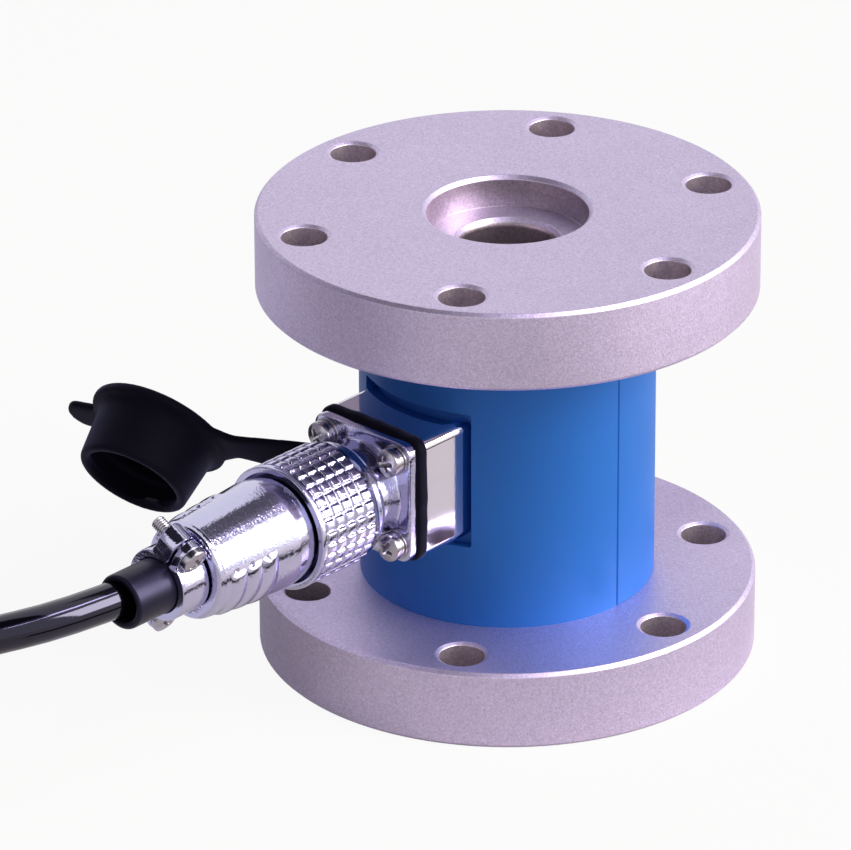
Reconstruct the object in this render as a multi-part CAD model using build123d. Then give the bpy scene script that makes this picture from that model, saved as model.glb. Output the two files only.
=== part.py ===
"""Static torque sensor with a flange at each end and a plugged cable.

The frame: the origin is the centre of the bottom flange's lower face, Z is the
sensor's own axis, and the connector points along -Y. All sizes are millimetres.
"""
from build123d import *
from math import atan2, cos, degrees, pi, radians, sin, sqrt, tan
import os

# Overall sensor
sensor_height = 92.0
flange_diameter = 98.0
flange_thickness = 16.0
flange_chamfer = 0.7
bolt_edge_distance = 8.0
bolt_count = 6
bolt_hole_diameter = 9.0
bolt_hole_chamfer_width = 0.75
bolt_hole_chamfer_depth = 0.45

# Centring bores and the hole through the middle
pilot_diameter = 31.5
pilot_depth = 6.4
pilot_chamfer = 0.75
through_diameter = 19.0
through_chamfer_width = 1.0
through_chamfer_depth = 1.8

# Hubs and the measuring section between the flanges
hub_clearance = 2.5
gauge_section_diameter = 34.0
gauge_section_blend = 4.0
hub_fit = 0.03

# Sleeve, in two half shells
sleeve_diameter = 58.0
sleeve_wall = 2.0
sleeve_top_gap = 0.5
seam_bevel = 0.25
window_width = 27.6
window_height = 28.4
window_corner = 0.6

# Connector seat, a hollow block behind the sleeve's window
connector_rise = 1.0
connector_height = sensor_height / 2 + connector_rise
block_width = 25.4
block_corner = 2.2
block_face = 37.0
block_wall = 3.0
block_bore_wall = 2.9
saddle_width = 33.0
saddle_height = 35.0
saddle_thickness = 2.0
saddle_fit = 0.05

# Rubber gasket under the receptacle
gasket_width = 26.0
gasket_thickness = 2.4
gasket_corner = 3.0

# Receptacle
receptacle_flange_width = 25.0
receptacle_flange_thickness = 2.0
receptacle_flange_corner = 2.6
receptacle_screw_pitch = 18.0
receptacle_barrel_diameter = 19.2
receptacle_bore_diameter = 16.2
receptacle_tail_diameter = 18.0
receptacle_tail_length = 6.2
receptacle_nose_length = 11.5
receptacle_neck_flare = 0.3
receptacle_neck_length = 1.4
receptacle_tail_clearance = 0.15
contact_insert_length = 10.0
contact_insert_start = 4.4
contact_circle = 7.6
contact_count = 4
pin_diameter = 1.5
pin_reach = 6.4
pin_tail = 4.0
insert_fit = 0.05

# Flange screws with their washers
screw_diameter = 3.0
screw_shank_play = 0.05
screw_hole_play = 0.1
screw_head_diameter = 5.6
screw_head_height = 2.1
screw_recess_width = 0.75
screw_recess_depth = 1.1
flange_screw_length = 12.0
flat_washer_diameter = 6.0
washer_seat_play = 0.05
flat_washer_thickness = 0.5
spring_washer_diameter = 5.4
spring_washer_thickness = 0.8
spring_washer_slit = 0.5
washer_bore = 3.3

# Plug
plug_fit = 0.08
plug_nose_gap = 1.0
plug_barrel_wall = 1.1
plug_barrel_length = 22.0
plug_collar_diameter = 18.6
plug_collar_length = 1.2
plug_collar_gap = 0.5
socket_diameter = 2.8
socket_fit = 0.08
socket_length = 17.0
socket_bore_length = 7.5
plug_insert_length = 11.0

# Coupling nut and its thrust ring
nut_front_radius = 10.0
nut_band_radius = 11.7
nut_band_length = 4.1
nut_nose_setback = 4.9
nut_pad_radius = 12.35
nut_groove_depth = 0.35
nut_pad_rows = 5
nut_pad_columns = 32
nut_groove_width = 0.5
nut_rim_radius = 12.45
nut_rim_length = 1.5
nut_length = 19.0
nut_thread_clearance = 0.1
nut_skirt_radius = 11.3
nut_lip_length = 1.6
nut_lip_clearance = 0.35
nut_travel = 4.0
thrust_ring_thickness = 0.6
thrust_ring_gap = 0.05

# Plug shell, with the far half of the cable clamp on its end
shell_start_gap = 4.4
shell_nose_radius = 10.6
shell_belly_radius = 11.0
shell_tail_radius = 9.5
shell_nose_length = 4.5
shell_belly_length = 8.5
shell_length = 29.0
shell_tail_blend = 1.6
shell_wall = 2.0
shell_end_wall = 4.0
grip_ridge_count = 3
grip_ridge_pitch = 3.9
grip_ridge_height = 0.4
grip_end_setback = 3.0
grip_flat_offset = 8.1

# Cable clamp
clamp_angle = 28.0
clamp_gap = 0.5
clamp_width = 6.8
clamp_wall = 1.7
clamp_screw_pitch = 17.0
clamp_ear_radius = 2.9
clamp_split = 0.5
clamp_seat_play = 0.1
far_ear_thickness = 4.2
near_ear_thickness = 1.8
tongue_length = 10.0
clamp_screw_length = 10.0

# Cable and its grommet
cable_diameter = 7.3
grommet_diameter = 10.9
grommet_reach = 9.8
grommet_collar_diameter = 13.4
grommet_collar_length = 2.0
grommet_fit = 0.05
cable_fit = 0.1
core_diameter = 1.3
core_circle = 3.2
cable_start = 84.0
cable_route = [
    (0.0, -cable_start, connector_height),
    (0.0, -117.0, connector_height),
    (-8.0, -141.0, 45.0),
    (-18.0, -164.0, 39.5),
    (-34.0, -186.0, 33.0),
    (-56.0, -200.0, 28.6),
    (-80.0, -204.0, 26.8),
]

# Cable wound up for storage, beyond the end of the route
coil_centre = (-76.0, -151.0)
coil_outer_turn = 51.0
coil_turn_pitch = 7.4
coil_layers = 4
coil_layer_turns = 2.81
tie_thickness = 1.0
tie_width = 6.0
tie_angles = (75.0, -140.0)
tail_route = [
    (-127.0, -155.0, 4.7),
    (-127.2, -135.0, 4.5),
    (-126.0, -114.0, 3.8),
]
tail_core_pitch = 1.5
tail_core_length = 26.0
tail_core_spread = 14.0

# Dust cap on its strap
cap_centre = (-47.2, -48.9, 47.2)
cap_opening_direction = (0.177, -0.808, -0.562)
cap_lid_diameter = 28.6
cap_lid_thickness = 2.0
cap_wall_diameter_lid = 24.6
cap_wall_diameter_mouth = 22.6
cap_mouth_diameter = 19.0
cap_bore_diameter = 20.4
cap_lip_length = 1.6
cap_depth = 13.8
cap_edge_round = 0.8
cap_tab_reach = 7.3
cap_tab_width = 7.6
cap_tab_turn = 10.0
strap_width_cap = 7.0
strap_width_root = 6.8
strap_thickness = 1.5
strap_root_gap = 0.3
strap_root_height = 47.8

# Strain gauges and the wiring inside the sleeve
gauge_height = 9.0
gauge_width = 7.0
gauge_thickness = 0.15
board_width = 13.0
board_corner = 1.0
board_thickness = 1.0
board_station = 29.0
lead_diameter = 0.9
lead_clearance = 2.6

# Values worked out from the sizes above
flange_radius = flange_diameter / 2
bolt_circle_radius = flange_radius - bolt_edge_distance
through_radius = through_diameter / 2
sleeve_radius = sleeve_diameter / 2
sleeve_bore = sleeve_radius - sleeve_wall
hub_radius = sleeve_bore - hub_fit
hub_end = sensor_height / 2 - saddle_height / 2 - connector_rise - hub_clearance
gauge_radius = gauge_section_diameter / 2
sleeve_bottom = flange_thickness
sleeve_top = sensor_height - flange_thickness - sleeve_top_gap
gasket_back = block_face
flange_back = gasket_back + gasket_thickness
flange_front = flange_back + receptacle_flange_thickness
barrel_radius = receptacle_barrel_diameter / 2
socket_bore = receptacle_bore_diameter / 2
nose_end = flange_front + receptacle_nose_length
insert_back = flange_back - contact_insert_start
insert_front = insert_back + contact_insert_length
screw_radius = screw_diameter / 2
screw_hole_radius = screw_radius + screw_hole_play
head_seat = flange_front + flat_washer_thickness + spring_washer_thickness
plug_radius = socket_bore - plug_fit
plug_front = insert_front + plug_nose_gap
collar_front = nose_end + plug_collar_gap
collar_back = collar_front + plug_collar_length
ring_front = collar_back + thrust_ring_gap
ring_back = ring_front + thrust_ring_thickness
nut_front = flange_front + nut_nose_setback
nut_back = nut_front + nut_length
nut_bore = barrel_radius + nut_thread_clearance
lip_front = ring_back + thrust_ring_gap
lip_back = lip_front + nut_lip_length
shell_front = lip_back + shell_start_gap
shell_back = shell_front + shell_length
clamp_front = shell_back + clamp_gap
clamp_back = clamp_front + clamp_width
clamp_middle = (clamp_front + clamp_back) / 2
grommet_radius = grommet_diameter / 2
clamp_bore = grommet_radius + grommet_fit
clamp_outer = clamp_bore + clamp_wall
cable_radius = cable_diameter / 2
grommet_end = clamp_back + grommet_reach

# The connector's own frame: x to the side, y up, z outwards from the sensor's axis
connector = Plane(origin=(0, 0, connector_height), x_dir=(1, 0, 0), z_dir=(0, -1, 0)).location
# The clamp's frame: x towards the near saddle, y along the two ears
clamp = connector * Rot(0, 0, -clamp_angle)


def turned(points):
    """A solid turned about Z from (radius, height) points."""
    outline = Polyline(*[(radius, 0, height) for radius, height in points], close=True)
    return revolve(make_face(outline), Axis.Z)


def disc(radius, start, end):
    """A plain round bar along Z, from one station to another."""
    return Pos(0, 0, start) * extrude(Circle(radius), end - start)


def tube(outer, inner, start, end):
    """A plain round tube along Z."""
    return disc(outer, start, end) - disc(inner, start - 1, end + 1)


def plate(width, height, corner, start, end):
    """A plate with rounded corners, from one station to another."""
    return Pos(0, 0, start) * extrude(RectangleRounded(width, height, corner), end - start)


def square_places(pitch):
    """The four corners of a square, from the upper left and clockwise."""
    half = pitch / 2
    return [(-half, half), (half, half), (half, -half), (-half, -half)]


def rod_between(start, end, radius):
    """A straight round rod from one point to another."""
    start = Vector(start)
    axis = Vector(end) - start
    return extrude(Plane(origin=start, z_dir=axis) * Circle(radius), axis.length)


def slanted_core(start, end):
    """A cable core between two stations, cut square to the connector at both ends."""
    slope = (Vector(*end) - Vector(*start)).normalized() * core_diameter
    rod = rod_between(Vector(*start) - slope, Vector(*end) + slope, core_diameter / 2)
    return rod & disc(plug_radius, start[2], end[2])


def corner_radii(points):
    """The arc at each corner of a route, as large as its two runs allow."""
    radii = []
    for before, corner, after in zip(points, points[1:], points[2:]):
        first = Vector(*corner) - Vector(*before)
        second = Vector(*after) - Vector(*corner)
        turn = radians(first.get_angle(second))
        radii.append(0.45 * min(first.length, second.length) / tan(turn / 2))
    return radii


def swept_tube(points, radius):
    """A round tube along straight runs joined by tangent arcs, and the path's length."""
    path = FilletPolyline(*points, radius=corner_radii(points))
    start = Plane(origin=points[0], z_dir=path % 0)
    return sweep(start * Circle(radius), path=path), path.length


def make_elastic_body():
    """Both flanges, their hubs and the measuring section, turned from one bar."""
    half = [
        (pilot_diameter / 2 + pilot_chamfer, 0),
        (flange_radius - flange_chamfer, 0),
        (flange_radius, flange_chamfer),
        (flange_radius, flange_thickness - flange_chamfer),
        (flange_radius - flange_chamfer, flange_thickness),
        (hub_radius, flange_thickness),
        (hub_radius, hub_end),
        (gauge_radius, hub_end),
    ]
    bore = [
        (through_radius, pilot_depth + through_chamfer_depth),
        (through_radius + through_chamfer_width, pilot_depth),
        (pilot_diameter / 2, pilot_depth),
        (pilot_diameter / 2, pilot_chamfer),
    ]
    upper = [(radius, sensor_height - height) for radius, height in reversed(half)]
    upper_bore = [(radius, sensor_height - height) for radius, height in reversed(bore)]
    body = turned(half + upper + upper_bore + bore)
    necks = body.edges().filter_by(GeomType.CIRCLE)
    necks = necks.filter_by(lambda edge: abs(edge.radius - gauge_radius) < 1e-6)
    body = fillet(necks, gauge_section_blend)
    radius = bolt_hole_diameter / 2
    mouth = radius + bolt_hole_chamfer_width
    hole = turned([
        (0, -1),
        (mouth, -1),
        (mouth, 0),
        (radius, bolt_hole_chamfer_depth),
        (radius, flange_thickness - bolt_hole_chamfer_depth),
        (mouth, flange_thickness),
        (mouth, flange_thickness + 1),
        (0, flange_thickness + 1),
    ])
    places = PolarLocations(bolt_circle_radius, bolt_count)
    lower_holes = [place * hole for place in places]
    top_lift = Pos(0, 0, sensor_height - flange_thickness)
    return body - lower_holes - [top_lift * cutter for cutter in lower_holes]


def make_sleeve_halves():
    """The blue sleeve as two half shells, with the window in the front one."""
    whole = tube(sleeve_radius, sleeve_bore, sleeve_bottom, sleeve_top)
    seam = seam_bevel * sqrt(2)
    for side in (-1, 1):
        groove = Pos(side * sleeve_radius, 0, (sleeve_bottom + sleeve_top) / 2)
        whole -= groove * Rot(0, 0, 45) * Box(seam, seam, sensor_height)
    size = 2 * sleeve_radius
    front = whole & (Pos(0, -size / 2, sensor_height / 2) * Box(size, size, sensor_height))
    rear = whole & (Pos(0, size / 2, sensor_height / 2) * Box(size, size, sensor_height))
    window = connector * plate(window_width, window_height, window_corner, 0, size)
    return front - window, rear


def make_connector_block():
    """The hollow chrome seat: a square block on a saddle that backs the window."""
    outer = sleeve_bore - saddle_fit
    inner = outer - saddle_thickness
    low = connector_height - saddle_height / 2
    saddle = tube(outer, inner, low, low + saddle_height)
    saddle &= connector * plate(saddle_width, saddle_height, block_corner, 0, 2 * outer)
    block = connector * plate(block_width, block_width, block_corner, 0, block_face)
    block -= disc(inner, 0, sensor_height)
    bore = block_width / 2 - block_bore_wall
    hole = receptacle_tail_diameter / 2 + receptacle_tail_clearance
    body = saddle + block
    body -= connector * disc(bore, 0, block_face - block_wall)
    body -= connector * disc(hole, 0, block_face + 1)
    for x, y in square_places(receptacle_screw_pitch):
        start = head_seat - flange_screw_length - 1
        body -= connector * Pos(x, y, 0) * disc(screw_hole_radius, start, block_face + 1)
    return body


def make_gasket():
    """The flat rubber gasket under the receptacle's flange."""
    body = plate(gasket_width, gasket_width, gasket_corner, gasket_back, flange_back)
    body -= disc(receptacle_tail_diameter / 2 + receptacle_tail_clearance, 0, flange_front)
    for x, y in square_places(receptacle_screw_pitch):
        body -= Pos(x, y, 0) * disc(screw_hole_radius, 0, flange_front)
    return connector * body


def make_receptacle_shell():
    """The receptacle: a square flange, a tail behind it and the threaded nose."""
    width = receptacle_flange_width
    body = plate(width, width, receptacle_flange_corner, flange_back, flange_front)
    flare = receptacle_neck_flare
    tail = receptacle_tail_diameter / 2
    start = flange_back - receptacle_tail_length
    body += turned([
        (socket_bore, start),
        (tail, start),
        (tail, flange_back + 0.5 * receptacle_flange_thickness),
        (barrel_radius + flare, flange_back + 0.5 * receptacle_flange_thickness),
        (barrel_radius + flare, flange_front),
        (barrel_radius, flange_front + receptacle_neck_length),
        (barrel_radius, nose_end - 0.6),
        (barrel_radius - 0.6, nose_end),
        (socket_bore, nose_end),
    ])
    body -= disc(socket_bore, start - 1, nose_end + 1)
    seat = flat_washer_diameter / 2 + washer_seat_play
    for x, y in square_places(receptacle_screw_pitch):
        body -= Pos(x, y, 0) * disc(screw_hole_radius, flange_back - 1, flange_front + 1)
        body -= Pos(x, y, 0) * disc(seat, flange_front, nose_end)
    return connector * body


def contact_places():
    """The contacts' places on their circle, in the connector's frame."""
    turn = 2 * pi / contact_count
    radius = contact_circle / 2
    angles = [turn * (index + 0.5) for index in range(contact_count)]
    return [(radius * cos(angle), radius * sin(angle)) for angle in angles]


def make_receptacle_insert():
    """The moulded disc that holds the receptacle's pins."""
    body = disc(socket_bore - insert_fit, insert_back, insert_front)
    for x, y in contact_places():
        body -= Pos(x, y, 0) * disc(pin_diameter / 2, insert_back - 1, insert_front + 1)
    return connector * body


def make_pins():
    """The receptacle's pins, with a round nose and a solder tail."""
    radius = pin_diameter / 2
    tip = insert_front + pin_reach
    pin = disc(radius, insert_back - pin_tail, tip)
    pin = fillet(pin.edges().group_by(Axis.Z)[-1], 0.6 * radius)
    return [connector * Pos(x, y, 0) * pin for x, y in contact_places()]


def pan_screw(length, seat):
    """A cross-recess pan-head screw along Z: the shank ends below its seat."""
    shank = disc(screw_radius - screw_shank_play, seat - length, seat)
    head = disc(screw_head_diameter / 2, seat, seat + screw_head_height)
    head = fillet(head.edges().group_by(Axis.Z)[-1], 0.42 * screw_head_height)
    depth = Pos(0, 0, seat + screw_head_height - screw_recess_depth / 2)
    arm = 0.62 * screw_head_diameter
    head -= depth * Box(arm, screw_recess_width, screw_recess_depth)
    head -= depth * Box(screw_recess_width, arm, screw_recess_depth)
    return shank + head


def make_flange_fasteners():
    """The four flange screws, each over a spring washer and a flat washer."""
    turns = (38.0, 12.0, 62.0, 25.0)
    bore = washer_bore / 2
    flat_top = flange_front + flat_washer_thickness
    flat = tube(flat_washer_diameter / 2, bore, flange_front, flat_top)
    spring = tube(spring_washer_diameter / 2, bore, flat_top, head_seat)
    slit = Pos(spring_washer_diameter / 2, 0, flat_top + spring_washer_thickness / 2)
    spring -= slit * Box(spring_washer_diameter, spring_washer_slit, 2 * spring_washer_thickness)
    screw = pan_screw(flange_screw_length, head_seat)
    pieces = {}
    for index, (x, y) in enumerate(square_places(receptacle_screw_pitch)):
        place = connector * Pos(x, y, 0) * Rot(0, 0, turns[index])
        pieces[f"flange_screw_{index + 1}"] = place * screw
        pieces[f"spring_washer_{index + 1}"] = place * spring
        pieces[f"flat_washer_{index + 1}"] = place * flat
    return pieces


def make_plug_barrel():
    """The plug's inner barrel, with the collar that the coupling nut pulls on."""
    inner = plug_radius - plug_barrel_wall
    end = plug_front + plug_barrel_length
    body = tube(plug_radius, inner, plug_front, end)
    body += tube(plug_collar_diameter / 2, inner, collar_front, collar_back)
    return connector * body


def make_plug_insert():
    """The moulded block that holds the plug's socket contacts."""
    start = plug_front + plug_nose_gap
    radius = plug_radius - plug_barrel_wall - insert_fit
    body = disc(radius, start, start + plug_insert_length)
    for x, y in contact_places():
        body -= Pos(x, y, 0) * disc(socket_diameter / 2, start - 1, start + socket_length)
    return connector * body


def make_sockets():
    """The plug's socket contacts, bored for the pins."""
    start = plug_front + plug_nose_gap
    socket = disc(socket_diameter / 2, start, start + socket_length)
    socket -= disc(pin_diameter / 2 + socket_fit, start - 1, start + socket_bore_length)
    return [connector * Pos(x, y, 0) * socket for x, y in contact_places()]


def make_coupling_nut():
    """The knurled nut: a field of small pads between two plain rims."""
    base = nut_pad_radius - nut_groove_depth
    field_start = nut_front + nut_band_length
    field_end = nut_back - nut_rim_length
    row = (field_end - field_start) / nut_pad_rows
    profile = [
        (nut_bore, nut_front),
        (nut_front_radius + 0.1, nut_front),
        (nut_band_radius - 0.5, nut_front + 0.7),
        (nut_band_radius, nut_front + 1.6),
        (nut_band_radius, field_start),
    ]
    for index in range(nut_pad_rows):
        low = field_start + index * row + nut_groove_width
        high = field_start + (index + 1) * row
        profile += [(base, low), (nut_pad_radius, low), (nut_pad_radius, high), (base, high)]
    profile += [
        (base, field_end + nut_groove_width / 2),
        (nut_rim_radius, field_end + nut_groove_width / 2),
        (nut_rim_radius, nut_back - 0.3),
        (nut_rim_radius - 0.3, nut_back),
        (nut_skirt_radius, nut_back),
        (nut_skirt_radius, lip_back),
        (plug_radius + nut_lip_clearance, lip_back),
        (plug_radius + nut_lip_clearance, lip_front),
        (nut_bore, lip_front),
    ]
    body = turned([(profile[0][0], profile[0][1])] + profile[1:])
    depth = 2 * nut_groove_depth
    middle = (field_start + field_end) / 2 + nut_groove_width / 4
    groove = Box(depth, nut_groove_width, field_end - field_start + nut_groove_width / 2)
    places = PolarLocations(nut_pad_radius, nut_pad_columns)
    body -= [Pos(0, 0, middle) * place * groove for place in places]
    return connector * body


def make_nut_washer():
    """The thrust ring between the plug's collar and the nut's inner lip."""
    outer = nut_bore - 0.25
    return connector * tube(outer, plug_radius + plug_fit, ring_front, ring_back)


def shell_radius_at(station):
    """The plug shell's outer radius along its tapered part."""
    start = shell_front + shell_belly_length
    share = (station - start) / (shell_back - start)
    return shell_belly_radius + share * (shell_tail_radius - shell_belly_radius)


def make_plug_shell():
    """The tapered shell with its two ridged grips and the far half of the clamp."""
    inner = plug_radius
    cavity = shell_tail_radius - shell_wall
    barrel_end = plug_front + plug_barrel_length
    body = turned([
        (inner, shell_front),
        (shell_nose_radius - 0.4, shell_front),
        (shell_nose_radius, shell_front + 0.4),
        (shell_nose_radius, shell_front + shell_nose_length),
        (shell_belly_radius, shell_front + shell_belly_length),
        (shell_tail_radius, shell_back),
        (clamp_bore, shell_back),
        (clamp_bore, shell_back - shell_end_wall),
        (cavity, shell_back - shell_end_wall),
        (cavity, barrel_end),
        (inner, barrel_end),
    ])
    rim = body.edges().filter_by(GeomType.CIRCLE).group_by(Axis.Z)[-1].sort_by(SortBy.RADIUS)[-1]
    body = fillet(rim, shell_tail_blend)
    for index in range(grip_ridge_count):
        middle = shell_back - grip_end_setback - (index + 0.5) * grip_ridge_pitch
        body += grip_ridge(middle)
    return clamp * (body + make_far_saddle())


def grip_ridge(middle):
    """One ridge of the grips: a rounded ring, kept only on the two gripping sides."""
    half = grip_ridge_pitch / 2
    front = (shell_radius_at(middle - half) - 0.05, middle - half)
    back = (shell_radius_at(middle + half) - 0.05, middle + half)
    top = (shell_radius_at(middle) + grip_ridge_height, middle)
    foot = shell_tail_radius - shell_wall / 2
    crown = ThreePointArc((front[0], 0, front[1]), (top[0], 0, top[1]), (back[0], 0, back[1]))
    sides = Polyline(
        (front[0], 0, front[1]),
        (foot, 0, front[1]),
        (foot, 0, back[1]),
        (back[0], 0, back[1]),
    )
    ring = revolve(make_face(crown + sides), Axis.Z)
    reach = 2 * shell_belly_radius
    middle_slab = Pos(0, 0, middle) * Box(2 * grip_flat_offset, 2 * reach, 2 * grip_ridge_pitch)
    return ring - middle_slab


def ear_block(near_face, far_face):
    """The flat plate that both ears are cut from, with round ends at the screws."""
    reach = clamp_screw_pitch / 2
    thickness = abs(far_face - near_face)
    outline = SlotCenterToCenter(2 * reach, 2 * clamp_ear_radius, rotation=90)
    slab = extrude(outline, thickness / 2, both=True)
    wide = Box(2 * clamp_width, 3 * reach, thickness)
    filler = Box(clamp_width, 2 * reach, thickness)
    slab = (slab & wide) + filler
    return Pos((near_face + far_face) / 2, 0, clamp_middle) * Rot(0, 90, 0) * slab


def clamp_half(side, ear_thickness, back):
    """One half ring of the clamp with its two ears, on the side given by -1 or 1."""
    low = clamp_split / 2
    ring = disc(clamp_outer, clamp_front, back)
    ears = ear_block(side * low, side * (low + ear_thickness))
    keep = Pos(side * (low + 2 * clamp_outer), 0, clamp_middle) * Box(4 * clamp_outer, 60, 60)
    body = (ring & keep) + ears
    body -= disc(clamp_bore, clamp_front - 20, back + 20)
    for end in (-1, 1):
        hole = Pos(0, end * clamp_screw_pitch / 2, clamp_middle) * Rot(0, 90, 0)
        body -= hole * Cylinder(screw_hole_radius, 60)
    return body


def make_far_saddle():
    """The clamp half that is cast in one piece with the shell."""
    tongue_end = shell_back + tongue_length
    body = clamp_half(-1, far_ear_thickness, tongue_end)
    root = tube(clamp_outer, clamp_bore, shell_back - 1, clamp_front + 0.5)
    low = clamp_split / 2
    keep = Pos(-(low + 2 * clamp_outer), 0, shell_back) * Box(4 * clamp_outer, 60, 60)
    return body + (root & keep)


def make_clamp_pieces():
    """The loose saddle and its two screws."""
    low = clamp_split / 2
    seat = low + near_ear_thickness
    saddle = clamp_half(1, near_ear_thickness, clamp_back)
    for end in (-1, 1):
        place = Pos(0, end * clamp_screw_pitch / 2, clamp_middle) * Rot(0, 90, 0)
        saddle -= place * disc(screw_head_diameter / 2 + clamp_seat_play, seat, 2 * clamp_outer)
    screw = pan_screw(clamp_screw_length, seat)
    pieces = {"clamp_saddle": clamp * saddle}
    for index, end in enumerate((1, -1)):
        place = clamp * Pos(0, end * clamp_screw_pitch / 2, clamp_middle) * Rot(0, 90, 0)
        pieces[f"clamp_screw_{index + 1}"] = place * Rot(0, 0, 30 + 25 * index) * screw
    return pieces


def make_grommet():
    """The rubber sleeve that grips the cable inside the clamp."""
    collar_back_face = shell_back - shell_end_wall
    collar_front_face = collar_back_face - grommet_collar_length
    body = turned([
        (cable_radius + cable_fit, collar_front_face),
        (grommet_collar_diameter / 2, collar_front_face),
        (grommet_collar_diameter / 2, collar_back_face),
        (grommet_radius, collar_back_face),
        (grommet_radius, grommet_end - 0.4),
        (grommet_radius - 0.4, grommet_end),
        (cable_radius + cable_fit, grommet_end),
    ])
    return connector * body


def make_cable_cores():
    """The four cores inside the plug, from the sockets back to the cable."""
    socket_end = plug_front + plug_nose_gap + socket_length
    ratio = core_circle / contact_circle
    cores = []
    for x, y in contact_places():
        start = (x, y, socket_end)
        end = (x * ratio, y * ratio, cable_start)
        cores.append(connector * slanted_core(start, end))
    return cores


def coil_section(grow):
    """The wound cable's cross-section, grown by a margin, on the XZ plane."""
    inner = coil_outer_turn - coil_turn_pitch * coil_layer_turns - cable_radius
    outer = coil_outer_turn + cable_radius
    height = (coil_layers - 1) * coil_turn_pitch + cable_diameter
    width = outer - inner
    middle = ((inner + outer) / 2, tie_thickness + height / 2)
    face = RectangleRounded(width + 2 * grow, height + 2 * grow, cable_radius + grow)
    return Plane.XZ * Pos(middle[0], middle[1]) * face


def make_coil():
    """The wound cable as one ring, and its two ties."""
    place = Pos(coil_centre[0], coil_centre[1], 0)
    ring = place * revolve(coil_section(0), Axis.Z)
    band = place * revolve(coil_section(tie_thickness), Axis.Z) - ring
    ties = []
    for angle in tie_angles:
        slab = Pos(coil_outer_turn, 0, 0) * Box(2 * coil_outer_turn, tie_width, sensor_height)
        ties.append(band & (place * Rot(0, 0, angle) * slab))
    return ring, ties


def make_cap_frame():
    """The dust cap's frame: z out of its mouth, x towards the strap's root."""
    opening = Vector(*cap_opening_direction).normalized()
    root = strap_root_point()
    towards = root - Vector(*cap_centre)
    along = towards - opening * towards.dot(opening)
    return Plane(origin=cap_centre, x_dir=along.normalized(), z_dir=opening)


def strap_root_point():
    """The middle of the strap's round root, where it bends beside the gasket."""
    edge = -(gasket_width / 2 + strap_root_gap + strap_thickness / 2)
    return Vector(edge, -(gasket_back + gasket_thickness / 2), strap_root_height)


def make_dust_cap():
    """The rubber cap with its pull tab and the strap to the gasket."""
    frame = make_cap_frame()
    lid = cap_lid_thickness / 2
    lid_radius = cap_lid_diameter / 2
    mouth = cap_depth - lid
    round_edge = cap_edge_round
    cup = turned([
        (0, -lid),
        (lid_radius - round_edge, -lid),
        (lid_radius, -lid + round_edge),
        (lid_radius, lid - 0.3),
        (lid_radius - 0.3, lid),
        (cap_wall_diameter_lid / 2 + 0.8, lid),
        (cap_wall_diameter_lid / 2, lid + 0.8),
        (cap_wall_diameter_mouth / 2, mouth - round_edge),
        (cap_wall_diameter_mouth / 2 - round_edge, mouth),
        (cap_mouth_diameter / 2, mouth),
        (cap_mouth_diameter / 2, mouth - cap_lip_length),
        (cap_bore_diameter / 2, mouth - cap_lip_length - 0.6),
        (cap_bore_diameter / 2, lid),
        (0, lid),
    ])
    tab_length = cap_tab_reach + cap_tab_width
    tab = extrude(SlotOverall(tab_length, cap_tab_width), lid, both=True)
    tab = Pos(-lid_radius - cap_tab_reach + tab_length / 2, 0, 0) * tab
    cap = frame.location * (cup + Rot(0, 0, cap_tab_turn) * tab)
    root = strap_root_point()
    start = Vector(*cap_centre) + frame.x_dir * (lid_radius - 1.5)
    cap_end = Plane(origin=start, x_dir=frame.y_dir, z_dir=frame.x_dir)
    root_end = Plane(origin=root, x_dir=(0, 0, 1), z_dir=(1, 0, 0))
    if cap_end.x_dir.Z < 0:
        cap_end = Plane(origin=start, x_dir=-frame.y_dir, z_dir=frame.x_dir)
    narrow = cap_end * Rectangle(strap_width_cap, strap_thickness)
    wide = root_end * Rectangle(strap_width_root, strap_thickness)
    strap = loft([narrow, wide], ruled=True)
    bend = Pos(*root) * Cylinder(strap_thickness / 2, strap_width_root)
    return cap + strap + bend


def make_gauges():
    """Four foil gauges bonded round the middle of the measuring section."""
    middle = sensor_height / 2
    skin = tube(gauge_radius + gauge_thickness, gauge_radius, 0, sensor_height)
    gauges = []
    for index in range(4):
        patch = Pos(gauge_radius, 0, middle) * Box(gauge_radius, gauge_width, gauge_height)
        gauges.append(skin & (Rot(0, 0, 45 + 90 * index) * patch))
    return gauges


def make_terminal_board():
    """The small board behind the receptacle, where the leads are joined."""
    back = board_station - board_thickness
    body = plate(board_width, board_width, board_corner, back, board_station)
    for x, y in contact_places():
        radius = lead_diameter / 2
        body -= Pos(x, y, 0) * disc(radius, 0, 2 * board_station)
    return connector * body


def make_bridge_leads():
    """One lead from each pin, through the board and round the section to its gauge."""
    radius = lead_diameter / 2
    on_gauge = gauge_radius + gauge_thickness + radius
    clear = on_gauge + lead_clearance
    pin_end = insert_back - pin_tail
    leads = []
    for x, y in contact_places():
        height = connector_height + y
        stations = [-68.0] if y > 0 else [-50.0, -10.0, 25.0]
        last = -45.0 if y > 0 else 45.0
        edge = sensor_height / 2 + (0.3 if y > 0 else -0.3) * gauge_height
        route = [(x, -pin_end, height), (x, -(board_station - 3.5), height)]
        for angle in stations:
            route.append(round_point(clear, angle, height, x))
        route.append(round_point(on_gauge, last, edge, x))
        lead, length = swept_tube(route, radius)
        leads.append(lead)
    return leads


def round_point(radius, angle, height, side):
    """A point round the sensor's axis, on the right if side is positive or else mirrored."""
    turn = radians(angle)
    across = radius * cos(turn) if side > 0 else -radius * cos(turn)
    return (across, radius * sin(turn), height)


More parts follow.
